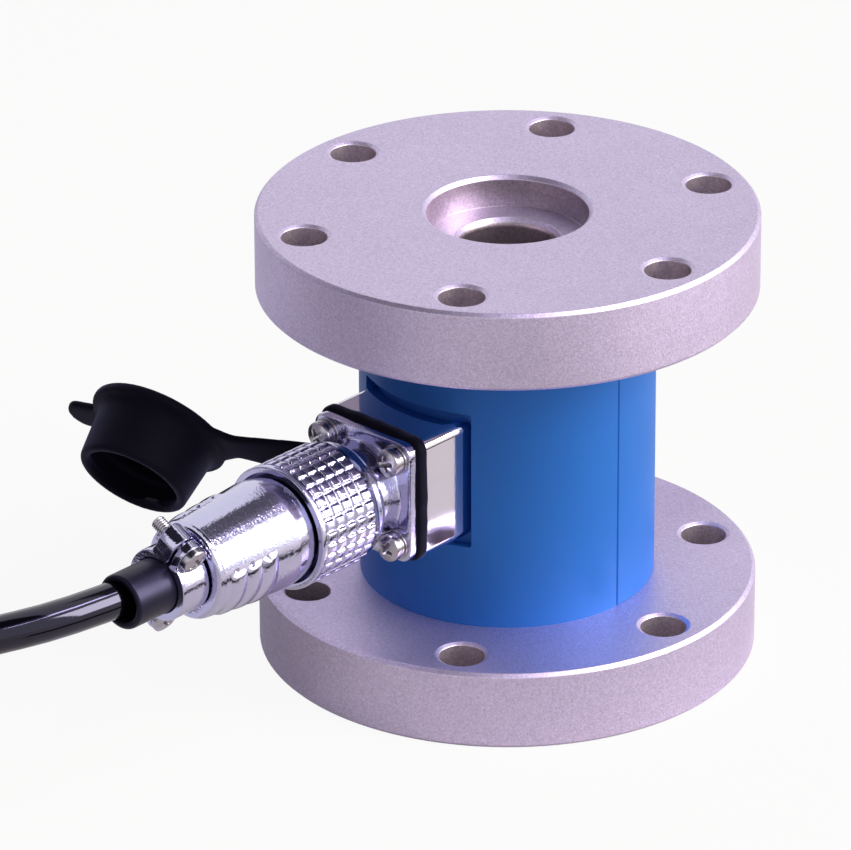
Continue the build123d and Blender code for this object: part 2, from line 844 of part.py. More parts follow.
def make_cable_pieces():
    """The cable's free run, its wound length, the ties and the bare far end."""
    ring, ties = make_coil()
    run, length = swept_tube(cable_route, cable_radius)
    share = run.volume / length / pi / cable_radius**2
    print("cable run", round(length, 1), "volume share", round(share, 4))
    print("cable radii", [round(radius, 1) for radius in corner_radii(cable_route)])
    tail, tail_length = swept_tube(tail_route, cable_radius)
    print("tail run", round(tail_length, 1), [round(radius, 1) for radius in corner_radii(tail_route)])
    pieces = {"cable": run - ring, "cable_coil": ring, "cable_end": tail - ring}
    for index, tie in enumerate(ties):
        pieces[f"coil_tie_{index + 1}"] = tie
    end = Vector(*tail_route[-1])
    heading = (end - Vector(*tail_route[-2])).normalized()
    sideways = heading.cross(Vector(0, 0, 1)).normalized()
    for index in range(contact_count):
        share = index / (contact_count - 1) - 0.5
        start = end + sideways * (share * tail_core_pitch * (contact_count - 1)) - heading
        swing = radians(2 * share * tail_core_spread)
        reach = heading * (tail_core_length * cos(swing)) + sideways * (tail_core_length * sin(swing))
        finish = start + reach
        finish = Vector(finish.X, finish.Y, core_diameter / 2 + 0.2)
        pieces[f"core_tail_{index + 1}"] = rod_between(start, finish, core_diameter / 2) - tail
    return pieces


def all_pieces():
    """Every separate piece of the sensor, by name."""
    sleeve_front, sleeve_rear = make_sleeve_halves()
    pieces = {
        "elastic_body": make_elastic_body(),
        "sleeve_front": sleeve_front,
        "sleeve_rear": sleeve_rear,
        "connector_block": make_connector_block(),
        "gasket": make_gasket(),
        "receptacle_shell": make_receptacle_shell(),
        "receptacle_insert": make_receptacle_insert(),
        "dust_cap": make_dust_cap(),
        "plug_barrel": make_plug_barrel(),
        "plug_insert": make_plug_insert(),
        "coupling_nut": make_coupling_nut(),
        "nut_washer": make_nut_washer(),
        "plug_shell": make_plug_shell(),
        "cable_grommet": make_grommet(),
        "terminal_board": make_terminal_board(),
    }
    pieces.update(make_flange_fasteners())
    pieces.update(make_clamp_pieces())
    pieces.update(make_cable_pieces())
    groups = {
        "receptacle_pin": make_pins(),
        "plug_socket": make_sockets(),
        "cable_core": make_cable_cores(),
        "strain_gauge": make_gauges(),
        "bridge_lead": make_bridge_leads(),
    }
    for name, group in groups.items():
        for index, piece in enumerate(group):
            pieces[f"{name}_{index + 1}"] = piece
    return pieces


os.makedirs("parts", exist_ok=True)
for name, shape in all_pieces().items():
    export_step(shape, f"parts/{name}.step")
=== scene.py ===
"""Looks of a static torque sensor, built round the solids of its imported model."""

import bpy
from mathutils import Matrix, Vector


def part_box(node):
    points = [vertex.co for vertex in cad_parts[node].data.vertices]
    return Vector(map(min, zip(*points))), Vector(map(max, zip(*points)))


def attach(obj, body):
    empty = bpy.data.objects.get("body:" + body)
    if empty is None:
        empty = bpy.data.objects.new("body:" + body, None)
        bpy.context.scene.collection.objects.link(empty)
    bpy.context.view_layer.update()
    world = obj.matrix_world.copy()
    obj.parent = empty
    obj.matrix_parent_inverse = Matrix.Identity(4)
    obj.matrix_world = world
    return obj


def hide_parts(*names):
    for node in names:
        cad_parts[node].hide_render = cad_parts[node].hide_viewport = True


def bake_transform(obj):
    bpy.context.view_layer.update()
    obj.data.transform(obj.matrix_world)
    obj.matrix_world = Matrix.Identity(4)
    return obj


bl_info = {
    "name": "Static torque sensor",
    "version": (1, 0, 0),
    "blender": (4, 5, 0),
    "location": "3D View > Sidebar > Sensor",
    "description": "Builds the finished pieces of a flanged torque sensor and its studio",
    "category": "Object",
}

from collections import namedtuple
from math import ceil, cos, pi, radians, sin

import bmesh
import bpy
import numpy as np
from mathutils import Matrix, Vector

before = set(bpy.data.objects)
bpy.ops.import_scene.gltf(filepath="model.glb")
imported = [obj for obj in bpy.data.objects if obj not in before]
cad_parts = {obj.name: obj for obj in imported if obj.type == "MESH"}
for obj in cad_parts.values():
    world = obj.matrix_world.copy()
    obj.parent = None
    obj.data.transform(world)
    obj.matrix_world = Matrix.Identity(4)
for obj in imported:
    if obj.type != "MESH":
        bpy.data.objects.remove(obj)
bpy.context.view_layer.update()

MM = 0.001


# Frame sizes, in millimetres

def stations(node):
    """A node's nearest and farthest distance from the sensor's axis, along the connector."""
    low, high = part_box(node)
    return -high.y / MM, -low.y / MM


def reach(node):
    """The radius of a node that is round, or half the width of a square one."""
    low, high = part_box(node)
    return (high.x - low.x) / 2 / MM


# Settings that a user would change

def linear(code):
    """The linear colour of an sRGB hex code."""
    values = [int(code[start:start + 2], 16) / 255 for start in (0, 2, 4)]
    return tuple(v / 12.92 if v <= 0.04045 else ((v + 0.055) / 1.055) ** 2.4 for v in values)


def opaque(code):
    """The linear colour of an sRGB hex code, with its alpha."""
    return (*linear(code), 1.0)


def length(name, description, millimetres):
    """A length property, kept in metres."""
    return bpy.props.FloatProperty(
        name=name, description=description, default=millimetres * MM, min=0.0,
        subtype="DISTANCE", unit="LENGTH", precision=5)


def colour(name, description, code):
    """A colour property, from an sRGB hex code."""
    return bpy.props.FloatVectorProperty(
        name=name, description=description, default=linear(code), min=0.0, max=1.0, subtype="COLOR")


class SensorSizes(bpy.types.PropertyGroup):
    """Sizes of the pieces that the solids hold only plainly"""
    connector_height: length("Connector height", "Height of the connector's axis over the bottom face", 47.0)
    bolt_circle: length("Bolt circle", "Diameter of the circle of bolt holes", 82.0)
    bolt_hole: length("Bolt hole", "Diameter of the bolt holes", 9.0)
    pilot_bore: length("Centring bore", "Diameter of the centring bores", 31.5)
    block_width: length("Block width", "Width of the square block that carries the connector", 25.4)
    edge_round: length("Edge rounding", "Rounding on machined edges", 0.12)
    pad_depth: length("Pad depth", "Depth of the grooves between the nut's pads", 0.42)
    pad_groove: length("Pad groove", "Width of the grooves between the nut's pads", 0.5)
    pad_rows: bpy.props.IntProperty(name="Pad rows", description="Rows of pads along the nut", default=5, min=1)
    pad_columns: bpy.props.IntProperty(name="Pad columns", description="Pads round the nut", default=32, min=3)
    shell_length: length("Shell length", "Length of the plug shell without its clamp tongue", 29.0)
    ridge_height: length("Ridge height", "Height of the ridges on the plug's grips", 0.42)
    ridge_pitch: length("Ridge pitch", "Distance from ridge to ridge on the plug's grips", 3.9)
    clamp_angle: bpy.props.FloatProperty(
        name="Clamp angle", description="Turn of the cable clamp about the connector's axis",
        default=radians(28.0), subtype="ANGLE", unit="ROTATION")
    thread_pitch: length("Screw thread pitch", "Pitch of the small screws", 0.5)
    nose_thread_pitch: length("Nose thread pitch", "Pitch of the receptacle's thread", 1.0)
    cable_diameter: length("Cable diameter", "Outer diameter of the cable", 7.3)
    cable_length: length("Cable length", "Length of the cable from the plug to its open end", 3050.0)


class SensorColours(bpy.types.PropertyGroup):
    """Colours of the finishes"""
    nickel: colour("Blasted nickel", "Flanges", "CEC2DF")
    # Darker than the nickel: partly the bored steel's own tone, partly painted shade in the bores and the hole through
    # the middle
    bore: colour("Turned bore with painted shade", "Centring bores and the hole through the middle", "B6AAB3")
    hole: colour("Reamed hole", "Bolt holes", "D2C6CF")
    blue: colour("Blue", "Sleeve", "1F67BE")
    chrome: colour("Cast chrome", "Plug, coupling nut and receptacle", "CCCAE8")
    mirror: colour("Mirror chrome", "Connector block", "E8E4F2")
    screw: colour("Bright nickel", "Screws and washers", "B9B4BE")
    rubber: colour("Rubber", "Gasket, dust cap and grommet", "0F0E19")
    jacket: colour("Cable jacket", "Cable", "05050A")
    contact: colour("Contact metal", "Pins and sockets", "D8B45C")
    insulator: colour("Insulator", "Inserts that hold the contacts", "1B1B1E")
    copper: colour("Copper", "Bare wire ends", "C9814F")
    board: colour("Circuit board", "Terminal board", "1C6B3C")
    foil: colour("Gauge film", "Strain gauges", "B87A35")
    red: colour("Red core", "First core and lead", "B3201C")
    black: colour("Black core", "Second core and lead", "15151A")
    green: colour("Green core", "Third core and lead", "1E7A3A")
    white: colour("White core", "Fourth core and lead", "DEDCD6")
    floor: colour("Floor", "Paper that the sensor stands on", "C4C0BA")
    background: colour("Background", "What the camera sees round the sensor", "FAFAFA")


CORES = ("red", "black", "green", "white")


def sizes():
    """The size settings of this scene."""
    return bpy.context.scene.sensor_sizes


def mm(name):
    """One size setting, in millimetres."""
    return getattr(sizes(), name) / MM


def tint(name):
    """One colour setting, with its alpha."""
    return (*getattr(bpy.context.scene.sensor_colours, name), 1.0)


# Places

def turn_about_z(angle):
    """The matrix of a turn about the local z axis."""
    return np.array(Matrix.Rotation(angle, 4, "Z"))


def connector_place(x=0.0, y=0.0, station=0.0, turn=0.0):
    """The connector's frame: x to the right, y up and z outwards from the sensor's axis."""
    base = np.array([[1, 0, 0, x], [0, 0, -1, -station], [0, 1, 0, mm("connector_height") + y], [0, 0, 0, 1.0]])
    return base @ turn_about_z(turn)


def clamp_place():
    """The clamp's frame: x towards the loose saddle and y along the ears."""
    return connector_place(turn=-sizes().clamp_angle)


def moved(points, place):
    """An array of points, taken from a local frame to the sensor's frame."""
    return points @ place[:3, :3].T + place[:3, 3]


# Curves and surfaces

def smooth_step(low, high, value):
    """0 below low, 1 above high, and 3t^2 - 2t^3 between, t being the share of the way."""
    share = np.clip((value - low) / (high - low), 0.0, 1.0)
    return share * share * (3 - 2 * share)


def unit(vectors):
    """The same directions, each of length one."""
    return vectors / np.linalg.norm(vectors, axis=-1, keepdims=True)


def full_turn(count):
    """The angles of a full turn in even steps, as a column."""
    return np.linspace(0, 2 * pi, count, endpoint=False)[:, None]


def round_z(angle, radius, height):
    """The points at an angle and a radius about z, at a height."""
    return np.stack([radius * np.cos(angle), radius * np.sin(angle), height + 0 * angle], -1)


def turned(profile, segments):
    """Points (angle, profile, xyz): each (radius, height) of the profile carried round z."""
    return round_z(full_turn(segments), *profile.T)


def eased_outline(corners, steps=5):
    """An outline whose corners (x, y, r) become quadratic curves that start r before each corner."""
    points = np.array([corner[:2] for corner in corners], float)
    outline = []
    for index, here in enumerate(points):
        before = points[index - 1] - here
        after = points[(index + 1) % len(points)] - here
        ease = corners[index][2]
        if ease == 0:
            outline.append(here[None])
            continue
        start = here + before * min(ease / np.linalg.norm(before), 0.49)
        end = here + after * min(ease / np.linalg.norm(after), 0.49)
        share = np.linspace(0, 1, steps)[:, None]
        outline.append((1 - share) ** 2 * start + 2 * share * (1 - share) * here + share ** 2 * end)
    return np.concatenate(outline)


def rounded_square(angle, half, corner):
    """Distance from the centre to a square's edge of half width `half` and corner radius `corner`.

    With c = half - corner, it is half / cos(a) on the flats and c(cos + sin) + sqrt(r^2 - c^2(cos - sin)^2)
    on the corners, a being the angle folded into one eighth of a turn.
    """
    folded = np.abs((angle + pi / 4) % (pi / 2) - pi / 4)
    centre = half - corner
    flat = half / np.cos(folded)
    inside = np.maximum(corner ** 2 - centre ** 2 * (np.cos(folded) - np.sin(folded)) ** 2, 0)
    bend = centre * (np.cos(folded) + np.sin(folded)) + np.sqrt(inside)
    return np.where(half * np.tan(folded) <= centre, flat, bend)


def thread_groove(along, pitch, angle, roundness):
    """How far a thread is cut, from 0 to 1: (1 - |2t - 1|)^roundness, t being how far along / pitch + angle
    is into its turn."""
    wave = along / pitch + angle / (2 * pi)
    return (1 - np.abs(2 * (wave % 1) - 1)) ** roundness


def new_mesh(name, points, close_u=True, close_v=True):
    """A mesh of one face for each cell of a grid of points (u, v, xyz) in millimetres.

    A closed direction joins its last row to its first. Where u is open, a face closes each of its ends.
    """
    rows, columns = points.shape[:2]
    index = np.arange(rows * columns).reshape(rows, columns)
    around = np.vstack([index, index[:1]]) if close_u else index
    around = np.hstack([around, around[:, :1]]) if close_v else around
    corners = (around[:-1, :-1], around[1:, :-1], around[1:, 1:], around[:-1, 1:])
    faces = np.stack(corners, -1).reshape(-1, 4).tolist()
    if not close_u:
        faces += [index[0].tolist(), index[-1][::-1].tolist()]
    mesh = bpy.data.meshes.new(name)
    mesh.from_pydata((points * MM).reshape(-1, 3), [], faces)
    shape = bmesh.new()
    shape.from_mesh(mesh)
    bmesh.ops.remove_doubles(shape, verts=shape.verts, dist=1e-7)
    bmesh.ops.recalc_face_normals(shape, faces=shape.faces)
    shape.to_mesh(mesh)
    shape.free()
    return mesh


def put(name, data):
    """A new object in the scene."""
    thing = bpy.data.objects.new(name, data)
    bpy.context.scene.collection.objects.link(thing)
    return thing


def add_piece(name, mesh, body, finish, slot, replaced=(), crease=35.0):
    """A finished piece: smooth but for its creases, riding on a body if one is given, in place of CAD nodes."""
    mesh.polygons.foreach_set("use_smooth", np.ones(len(mesh.polygons), bool))
    mesh.set_sharp_from_angle(angle=radians(crease))
    mesh.materials.clear()
    mesh.materials.append(material_of(finish))
    piece = put(name, mesh)
    if body:
        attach(piece, body)
    if replaced:
        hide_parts(*replaced)
    return piece


def add_shape(name, points, place, *details, closed=(True, True)):
    """A finished piece from a grid of points in a local frame, with what add_piece asks for."""
    return add_piece(name, new_mesh(name, moved(points, place), *closed), *details)


def second_finish(mesh, finish, chosen):
    """Gives one more finish to the faces whose middles, in millimetres, a test on their array picks."""
    middle = np.empty(len(mesh.polygons) * 3)
    mesh.polygons.foreach_get("center", middle)
    finishes = np.empty(len(mesh.polygons), np.int32)
    mesh.polygons.foreach_get("material_index", finishes)
    finishes[chosen(middle.reshape(-1, 3) / MM)] = len(mesh.materials)
    mesh.materials.append(material_of(finish))
    mesh.polygons.foreach_set("material_index", finishes)


def even_shading(piece):
    """Lets large flat faces set the shading beside small roundings."""
    piece.modifiers.new("even shading", "WEIGHTED_NORMAL").keep_sharp = True


def soften(node, name, finish, slot, width):
    """A copy of one of the sensor's CAD nodes with small roundings on its edges, in the node's place."""
    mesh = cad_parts[node].data.copy()
    mesh.name = name
    shape = bmesh.new()
    shape.from_mesh(mesh)
    bmesh.ops.remove_doubles(shape, verts=shape.verts, dist=1e-7)
    bmesh.ops.dissolve_limit(shape, angle_limit=radians(0.4), verts=shape.verts, edges=shape.edges)
    shape.to_mesh(mesh)
    shape.free()
    if "custom_normal" in mesh.attributes:
        mesh.attributes.remove(mesh.attributes["custom_normal"])
    piece = add_piece(name, mesh, "sensor", finish, slot, (node,))
    bevel = piece.modifiers.new("rounded edges", "BEVEL")
    bevel.width = width * MM
    bevel.segments = 3
    bevel.limit_method = "ANGLE"
    bevel.angle_limit = radians(30)
    bevel.use_clamp_overlap = True
    even_shading(piece)
    return piece


def dress(node, finish):
    """Gives a CAD node, whose shape stays, its finish."""
    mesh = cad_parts[node].data
    mesh.materials.clear()
    mesh.materials.append(material_of(finish))


# Finishes

# What a pattern is made of: a kind of texture, its outputs for shade and height, and its own settings
NOISE = ("ShaderNodeTexNoise", "Fac", "Fac", {}, {})
FACETS = ("ShaderNodeTexVoronoi", "Color", "Distance", {}, {})
TOOL_RINGS = (
    "ShaderNodeTexWave", "Fac", "Fac", {"Distortion": 0.4}, {"wave_type": "BANDS", "bands_direction": "Z"})

# A pattern's size in millimetres and its detail, the shares that it multiplies the colour (tone) and the
# roughness (rough) by where it is low and high, and its depth in millimetres with the strength of that
Pattern = namedtuple(
    "Pattern", "size detail tone rough depth strength kind", defaults=(2.0, None, None, 0.0, 1.0, NOISE))


def plated(ripple_size, ripple_depth, grain_depth):
    """The patterns of chrome plate: slow ripples of the metal under it, and a grain that dulls it in spots."""
    return [Pattern(ripple_size, 1.0, tone=(0.94, 1.02), depth=ripple_depth),
            Pattern(0.5, rough=(0.6, 1.5), depth=grain_depth)]


def moulded(grain_size, grain_depth, contrast=0.15):
    """The patterns of a moulded or extruded polymer: a fine skin, and clouds twelve times as large."""
    return [Pattern(grain_size, 3.0, depth=grain_depth, strength=0.7),
            Pattern(grain_size * 12, tone=(1 - contrast, 1 + contrast), rough=(0.85, 1.15))]


# Drawn at 0.35 mm, so that the rings show
BORED = [Pattern(7.0, 1.0, depth=0.02, strength=0.5, kind=TOOL_RINGS), Pattern(0.5, 3.0, tone=(0.5, 1.5))]
METAL = {"Metallic": 1.0}
COOL_GLOSS = opaque("C4BEFF")
DUSTY_SHEEN = opaque("9C9CE0")

# Each finish: its colour setting, its roughness, its patterns and the shader's other sockets
FINISHES = {
    # Nickel plate on bead blasted steel: an even satin, whose grit leaves bumped facets near 0.3 mm, each of a random
    # tone, the lighter ones painted glints
    "blasted nickel": ("nickel", 0.47, [
        Pattern(0.4, 3.0, tone=(0.8, 1.2), depth=0.035, strength=0.6), Pattern(14.0, tone=(0.96, 1.04)),
        Pattern(0.32, 0.0, tone=(0.84, 1.14), depth=0.025, strength=0.6, kind=FACETS)], METAL),
    # Bored steel under thin plate, with fine tool rings, and the same in the reamed bolt holes; the bores' colour is
    # darker than the nickel, partly the steel's own tone and partly painted shade deep in them
    "turned bore": ("bore", 0.42, BORED, METAL),
    "reamed hole": ("hole", 0.42, BORED, METAL),
    # Dyed anodised aluminium, satin: a deep blue with a soft sheen
    "blue anodised aluminium": ("blue", 0.48, [
        Pattern(0.3, tone=(0.95, 1.05), depth=0.02, strength=0.4), Pattern(18.0, 3.0, tone=(0.93, 1.07))],
        {"Metallic": 0.15, "Specular IOR Level": 0.35}),
    # Chrome on a machined block: nearly flat, so that it mirrors its surroundings
    "mirror chrome": ("mirror", 0.06, plated(6.0, 0.006, 0.004), METAL),
    # Chrome on a zinc casting, whose skin breaks up the edges of what it mirrors
    "cast chrome": ("chrome", 0.1, plated(2.2, 0.02, 0.034), METAL),
    # Bright nickel plate on small steel screws and washers
    "bright nickel": ("screw", 0.22, [Pattern(0.3, tone=(0.85, 1.05), depth=0.01, strength=0.8)], METAL),
    # Moulded nitrile rubber, matte with a dusty sheen
    "black rubber": ("rubber", 0.6, moulded(0.25, 0.012, 0.2), {
        "Specular IOR Level": 0.06, "Sheen Weight": 0.3, "Sheen Roughness": 0.45, "Sheen Tint": DUSTY_SHEEN}),
    # Chloroprene of the grommet, a little shinier than the cap
    "chloroprene rubber": ("rubber", 0.36, moulded(0.3, 0.01, 0.2), {
        "Specular IOR Level": 0.45, "Specular Tint": COOL_GLOSS}),
    # Extruded PVC jacket, glossy, with slow ripples where it lies over its cores
    "PVC jacket": ("jacket", 0.09, moulded(4.0, 0.03, 0.1), {
        "Specular IOR Level": 0.5, "Specular Tint": COOL_GLOSS, "Coat Weight": 0.5, "Coat Roughness": 0.06}),
    # Moulded phenolic of the contact inserts, nearly black
    "phenolic": ("insulator", 0.4, moulded(0.2, 0.01), {}),
    # Black nylon of the cable ties, a little shiny
    "nylon tie": ("insulator", 0.3, moulded(0.3, 0.008), {}),
    # Green solder mask over glass laminate
    "solder mask": ("board", 0.35, moulded(0.6, 0.02), {}),
    # Polyimide film over etched foil, amber
    "gauge film": ("foil", 0.3, moulded(0.3, 0.01, 0.3), {}),
    # Gold flash on turned brass contacts, with fine lines of handling
    "gold flashed brass": ("contact", 0.22, [Pattern(0.2, tone=(0.9, 1.06))], METAL),
    # Stranded copper at the stripped ends of the cores
    "bare copper": ("copper", 0.3, [Pattern(0.2, tone=(0.9, 1.06))], METAL),
    # Thin PVC insulation of the cable's cores
    **{f"{name} core insulation": (name, 0.35, moulded(0.4, 0.006), {}) for name in CORES},
}


def add_node(tree, kind, inputs=(), **settings):
    """One shader node: inputs are values or the sockets that feed them, settings its properties."""
    node = tree.nodes.new(kind)
    for name, value in settings.items():
        setattr(node, name, value)
    for name, value in dict(inputs).items():
        if isinstance(value, bpy.types.NodeSocket):
            tree.links.new(value, node.inputs[name])
        else:
            node.inputs[name].default_value = value
    return node


def empty_tree(holder):
    """The node tree of a material or a world, emptied."""
    holder.use_nodes = True
    holder.node_tree.nodes.clear()
    return holder.node_tree


def end_tree(tree, shader):
    """Joins the shader to the material's output."""
    add_node(tree, "ShaderNodeOutputMaterial", {"Surface": shader.outputs[0]})


def per_size(millimetres):
    """A texture scale whose features are about that size."""
    return 1 / (millimetres * MM)


def varied(tree, base, noise, low, high):
    """The base colour, darker where the noise is low and lighter where it is high."""
    ramp = add_node(tree, "ShaderNodeMapRange", {"Value": noise, "To Min": low, "To Max": high})
    return add_node(
        tree, "ShaderNodeMix", {0: 1.0, 6: base, 7: ramp.outputs[0]},
        data_type="RGBA", blend_type="MULTIPLY").outputs[2]


def material_of(name):
    """The material of one of the finishes, made once."""
    found = [material for material in bpy.data.materials if material.get("finish") == name]
    if found:
        return found[0]
    setting, roughness, patterns, sockets = FINISHES[name]
    base, skin = tint(setting), {}
    material = bpy.data.materials.new(name)
    material["finish"] = name
    tree = empty_tree(material)
    place = add_node(tree, "ShaderNodeTexCoord").outputs["Object"]
    for pattern in patterns:
        kind, shade, height, inputs, settings = pattern.kind
        texture = add_node(
            tree, kind, {"Vector": place, "Scale": per_size(pattern.size), "Detail": pattern.detail, **inputs},
            **settings)
        if pattern.tone:
            base = varied(tree, base, texture.outputs[shade], *pattern.tone)
        if pattern.rough:
            low, high = pattern.rough
            roughness = add_node(tree, "ShaderNodeMapRange", {
                "Value": texture.outputs[shade], "To Min": roughness * low, "To Max": roughness * high}).outputs[0]
        if pattern.depth:
            skin = {"Normal": add_node(tree, "ShaderNodeBump", {
                "Height": texture.outputs[height], "Distance": pattern.depth * MM,
                "Strength": pattern.strength, **skin}).outputs[0]}
    end_tree(tree, add_node(tree, "ShaderNodeBsdfPrincipled", {
        "Base Color": base, "Roughness": roughness, **skin, **sockets}))
    return material


# Shapes of the pieces

def screw_points(head_radius, head_height, shank_radius, shank_length, thread_pitch=0.0):
    """A pan-head screw with a cross recess along z, its head standing on z = 0.

    The head's top is the dome z = h(1 - 0.34 (r/R)^2), eased down at its rim, less the recess: for each of
    two crossed arms the depth is a step across the arm's width times a step along its length. A thread,
    where there is one, is cut by thread_groove.
    """
    tip_bevel, thread_depth = 0.3, 0.14
    arm, half_width, arm_edge = head_radius * 0.62, head_radius * 0.13, 0.11
    angle = full_turn(96)
    dome_radius = np.linspace(0, head_radius * 0.96, 44)
    dome = np.stack([dome_radius, head_height * (1 - 0.34 * (dome_radius / head_radius) ** 2)], -1)
    flank = eased_outline([
        (*dome[-1], 0), (head_radius, head_height * 0.52, head_height * 0.12), (head_radius, 0.0, 0.12),
        (shank_radius, 0.0, 0)], 4)
    rows = 120 if thread_pitch else 2
    shank_height = np.linspace(-0.02, -shank_length + tip_bevel, rows)
    shank = np.stack([np.full(rows, shank_radius), shank_height], -1)
    tip = [(shank_radius - tip_bevel, -shank_length), (0.0, -shank_length)]
    radius, height = np.concatenate([dome, flank, shank, tip]).T
    radius = radius + 0 * angle
    if thread_pitch:
        first = len(dome) + len(flank)
        radius[:, first:first + rows] -= thread_depth * thread_groove(shank_height, thread_pitch, angle, 0.8)
    points = round_z(angle, radius, height)
    top = points[:, :len(dome)]
    recess = 0.0
    for along, across in ((0, 1), (1, 0)):
        width = 1 - smooth_step(half_width - arm_edge, half_width + arm_edge, np.abs(top[..., across]))
        way = 1 - smooth_step(0.25 * arm, arm, np.abs(top[..., along]))
        recess = np.maximum(recess, width * way ** 0.6)
    top[..., 2] -= recess * head_height * 0.62
    return points


def split_ring_points(inner, outer, thickness):
    """A spring washer: a rounded square section carried round z, all but its gap, rising a little."""
    gap, rise = radians(14), 0.08
    section = eased_outline([
        (inner, 0.0, 0.1), (outer, 0.0, 0.14), (outer, thickness, 0.14), (inner, thickness, 0.1)], 4)
    angle = np.linspace(gap / 2, 2 * pi - gap / 2, 90)[:, None]
    return round_z(angle, section[:, 0], section[:, 1] + (angle / (2 * pi) - 0.5) * rise)


def nut_points():
    """The coupling nut: a turned profile whose outside is base + depth * P(s) * Q(a).

    P and Q are steps up from the grooves along the nut (s) and round it (a), so that they leave square pads
    with soft edges, and each pad is crowned by a small parabola.
    """
    front, back = stations("coupling_nut")
    rim = reach("coupling_nut")
    washer_gap, washer_play, lip_width, insert_gap = 0.25, 0.05, 1.6, 1.5
    bore = reach("nut_washer") + washer_gap
    lip_front = stations("nut_washer")[1] + washer_play
    lip_back = lip_front + lip_width
    lip_bore = reach("plug_insert") + insert_gap
    tail_bore = rim - 1.15
    band, field_start, field_end = rim - 0.75, front + 4.1, back - 1.5
    rows, columns, depth, groove = sizes().pad_rows, sizes().pad_columns, mm("pad_depth"), mm("pad_groove")
    steps_along, steps_round, crown_height, row_edge, column_edge = 22, 14, 0.08, 0.16, 0.3
    nose = eased_outline([
        (bore, front, 0), (bore + 0.4, front, 0.2), (band - 0.55, front + 0.5, 0.5), (band, front + 1.7, 0.6),
        (band, field_start - 0.05, 0)], 5)[1:]
    field = np.linspace(field_start, field_end, rows * steps_along + 1)
    tail = eased_outline([
        (rim - 0.45, field_end + 0.12, 0), (rim, field_end + 0.3, 0.16), (rim, back, 0.35),
        (rim - 1.3, back, 0.15), (rim - 1.34, back - 0.9, 0.3), (tail_bore, back - 1.4, 0.2),
        (tail_bore, lip_back, 0), (lip_bore, lip_back, 0), (lip_bore, lip_front, 0), (bore, lip_front, 0),
        (bore, front + 0.2, 0)], 5)
    angle = full_turn(columns * steps_round)
    row_pitch = (field_end - field_start) / rows
    column_pitch = 2 * pi * rim / columns
    from_row = np.abs((field - field_start + row_pitch / 2) % row_pitch - row_pitch / 2)
    from_column = np.abs((angle / (2 * pi) * columns + 0.5) % 1 - 0.5) * column_pitch
    raised_row = smooth_step(groove / 2 - row_edge, groove / 2 + row_edge, from_row)
    raised_column = smooth_step(groove / 2 - column_edge, groove / 2 + column_edge, from_column)
    crown = crown_height * (1 - (1 - 2 * from_row / row_pitch) ** 2) * (
        1 - (1 - 2 * from_column / column_pitch) ** 2)
    base = rim - 0.1 - depth
    profile = np.concatenate([nose, np.stack([np.full(len(field), base), field], -1), tail])
    radius = profile[:, 0] + 0 * angle
    radius[:, len(nose):len(nose) + len(field)] = base + depth * raised_row * raised_column + crown
    return round_z(angle, radius, profile[:, 1])


def shell_points():
    """The plug shell: radius R(s) plus ridges on its two grips, less a dimple at each ridge's ends.

    R(s) rises from the nose to the belly and falls to the tail. A ridge is 1 - |2t - 1|^2.6 high over its
    pitch (t), and it is let in only where |x| stands past the flat panels' edge. A dimple is a small bell
    exp(-d^2 / 0.126) of the distance d from its middle.
    """
    front = stations("plug_shell")[0]
    back = front + mm("shell_length")
    nose, belly, tail = 10.6, 11.0, 9.5
    bore, cavity, cavity_front, cavity_back = 5.5, 7.5, front + 7.0, back - 4.0
    inner = reach("plug_insert") + 1.15
    pitch, height, ridges = mm("ridge_pitch"), mm("ridge_height"), 3
    panel, edge = 8.1, 0.35
    dimple_depth, dimple_spread = 0.42, 0.3 ** 2 * 1.4
    segments = 320
    angle = full_turn(segments)
    station = np.linspace(front + 0.5, back - 1.6, 176)
    rise = smooth_step(front + 3.6, front + 9.0, station)
    fall = np.clip((station - front - 8.5) / (back - front - 8.5), 0, 1)
    radius = nose + (belly - nose) * rise - (belly - tail) * fall + 0 * angle
    outwards = smooth_step(panel - edge, panel + edge, np.abs(radius * np.cos(angle)))
    first_ridge = back - 3.0 - ridges * pitch
    share = (station - first_ridge) / pitch
    ridged = (share > 0) & (share < ridges)
    radius = radius + height * np.where(ridged, 1 - np.abs(2 * (share % 1) - 1) ** 2.6, 0) * outwards
    panel_angle = np.arccos(panel / (belly - 0.7))
    for index in range(ridges):
        along = station - (first_ridge + (index + 0.62) * pitch)
        for middle in (-panel_angle, panel_angle, pi - panel_angle, pi + panel_angle):
            around = np.angle(np.exp(1j * (angle - middle))) * belly
            radius = radius - dimple_depth * np.exp(-(along ** 2 + around ** 2) / dimple_spread)
    ends = eased_outline([
        (tail + 0.08, back - 1.55, 0), (tail, back, 1.45), (bore, back, 0.3), (bore, cavity_back, 0),
        (cavity, cavity_back, 0), (cavity, cavity_front, 0), (inner, cavity_front, 0), (inner, front, 0.2),
        (nose, front, 0.4), (nose, front + 0.48, 0)], 6)
    return np.concatenate([round_z(angle, radius, station), turned(ends, segments)], 1)


# The clamp screws' distance, and how far the clamp's halves stand from its middle plane
CLAMP_PITCH = 17.0
CLAMP_SPLIT = 0.25


